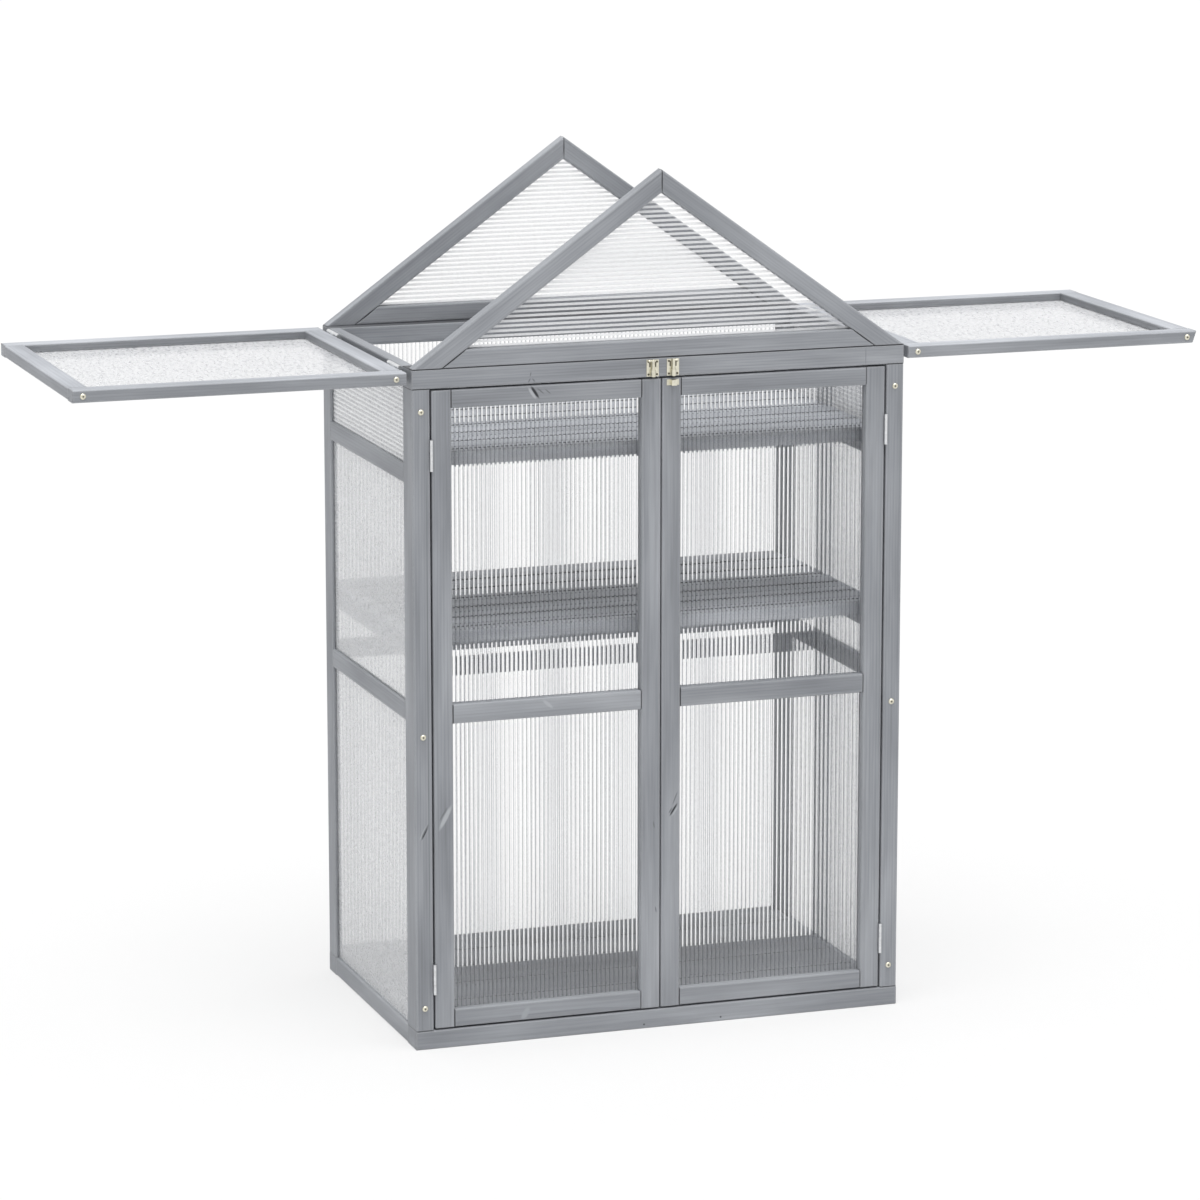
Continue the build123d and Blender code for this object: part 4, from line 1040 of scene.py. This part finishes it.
# Floor, light and camera
# A pale studio floor and backdrop, one high soft lamp a little to the front, and even light all round.
# The camera looks at the front and the left side from a little above, with a long lens and no shift.
FLOOR_HALF = 40.0
FLOOR_PALE = (0.76, 0.76, 0.76, 1)
FLOOR_SHADE = (0.27, 0.27, 0.27, 1)
FLOOR_GLOW = 0.64
SKY_LIGHT = 0.65
BACKDROP_LIGHT = 1.0
WHITE = (1, 1, 1, 1)
LAMP_STRENGTH = 2.4
LAMP_SPREAD = math.radians(50)
LAMP_LEAN = math.radians(12)
LAMP_SWING = math.radians(-12)
CAMERA_PLACE = (-2.5627, -7.4206, 2.2585)
CAMERA_TURN = math.radians(-18.942)
CAMERA_TILT = math.radians(11.66)
CAMERA_LENS = 150.9
CAMERA_SENSOR = 36.0
CLEAR_LAYERS = 48


def seen_directly(tree):
    """1 for rays from the camera, a mirror or glass, and 0 for light bounced off matt surfaces."""
    path = add_node(tree, "ShaderNodeLightPath").outputs
    seen = work_out(tree, "MAXIMUM", path["Is Camera Ray"], path["Is Glossy Ray"])
    return work_out(tree, "MAXIMUM", seen, path["Is Transmission Ray"])


floor_mesh = bpy.data.meshes.new("studio_floor")
floor_corners = [(FLOOR_HALF * x, FLOOR_HALF * y, 0) for x, y in ((-1, -1), (1, -1), (1, 1), (-1, 1))]
floor_mesh.from_pydata(floor_corners, [], [(0, 1, 2, 3)])
floor = bpy.data.objects.new("studio_floor", floor_mesh)
bpy.context.scene.collection.objects.link(floor)
material, tree = new_material("pale studio floor")
bounce = add_node(tree, "ShaderNodeBsdfDiffuse", {"Color": FLOOR_PALE})
glow = add_node(tree, "ShaderNodeEmission", {"Strength": FLOOR_GLOW})
shade = add_node(tree, "ShaderNodeBsdfDiffuse", {"Color": FLOOR_SHADE})
shown = add_node(tree, "ShaderNodeAddShader", {0: glow.outputs[0], 1: shade.outputs[0]})
finish_surface(tree, mix_shaders(tree, seen_directly(tree), bounce, shown))
floor_mesh.materials.append(material)

world = bpy.data.worlds.new("studio")
bpy.context.scene.world = world
world.use_nodes = True
tree = world.node_tree
tree.nodes.clear()
sky = add_node(tree, "ShaderNodeBackground", {"Color": WHITE, "Strength": SKY_LIGHT})
white = add_node(tree, "ShaderNodeBackground", {"Color": WHITE, "Strength": BACKDROP_LIGHT})
backdrop = mix_shaders(tree, seen_directly(tree), sky, white)
add_node(tree, "ShaderNodeOutputWorld", {"Surface": backdrop.outputs[0]})

lamp = bpy.data.lights.new("overhead lamp", "SUN")
lamp.energy = LAMP_STRENGTH
lamp.angle = LAMP_SPREAD
lamp_object = bpy.data.objects.new("overhead lamp", lamp)
lamp_object.rotation_euler = (LAMP_LEAN, 0, LAMP_SWING)
bpy.context.scene.collection.objects.link(lamp_object)

camera = bpy.data.cameras.new("camera")
camera.lens = CAMERA_LENS
camera.sensor_width = CAMERA_SENSOR
camera_object = bpy.data.objects.new("camera", camera)
camera_object.location = CAMERA_PLACE
camera_object.rotation_euler = (math.pi / 2 - CAMERA_TILT, 0, CAMERA_TURN)
bpy.context.scene.collection.objects.link(camera_object)
bpy.context.scene.camera = camera_object
bpy.context.scene.view_settings.view_transform = "Standard"
bpy.context.scene.cycles.transparent_max_bounces = CLEAR_LAYERS
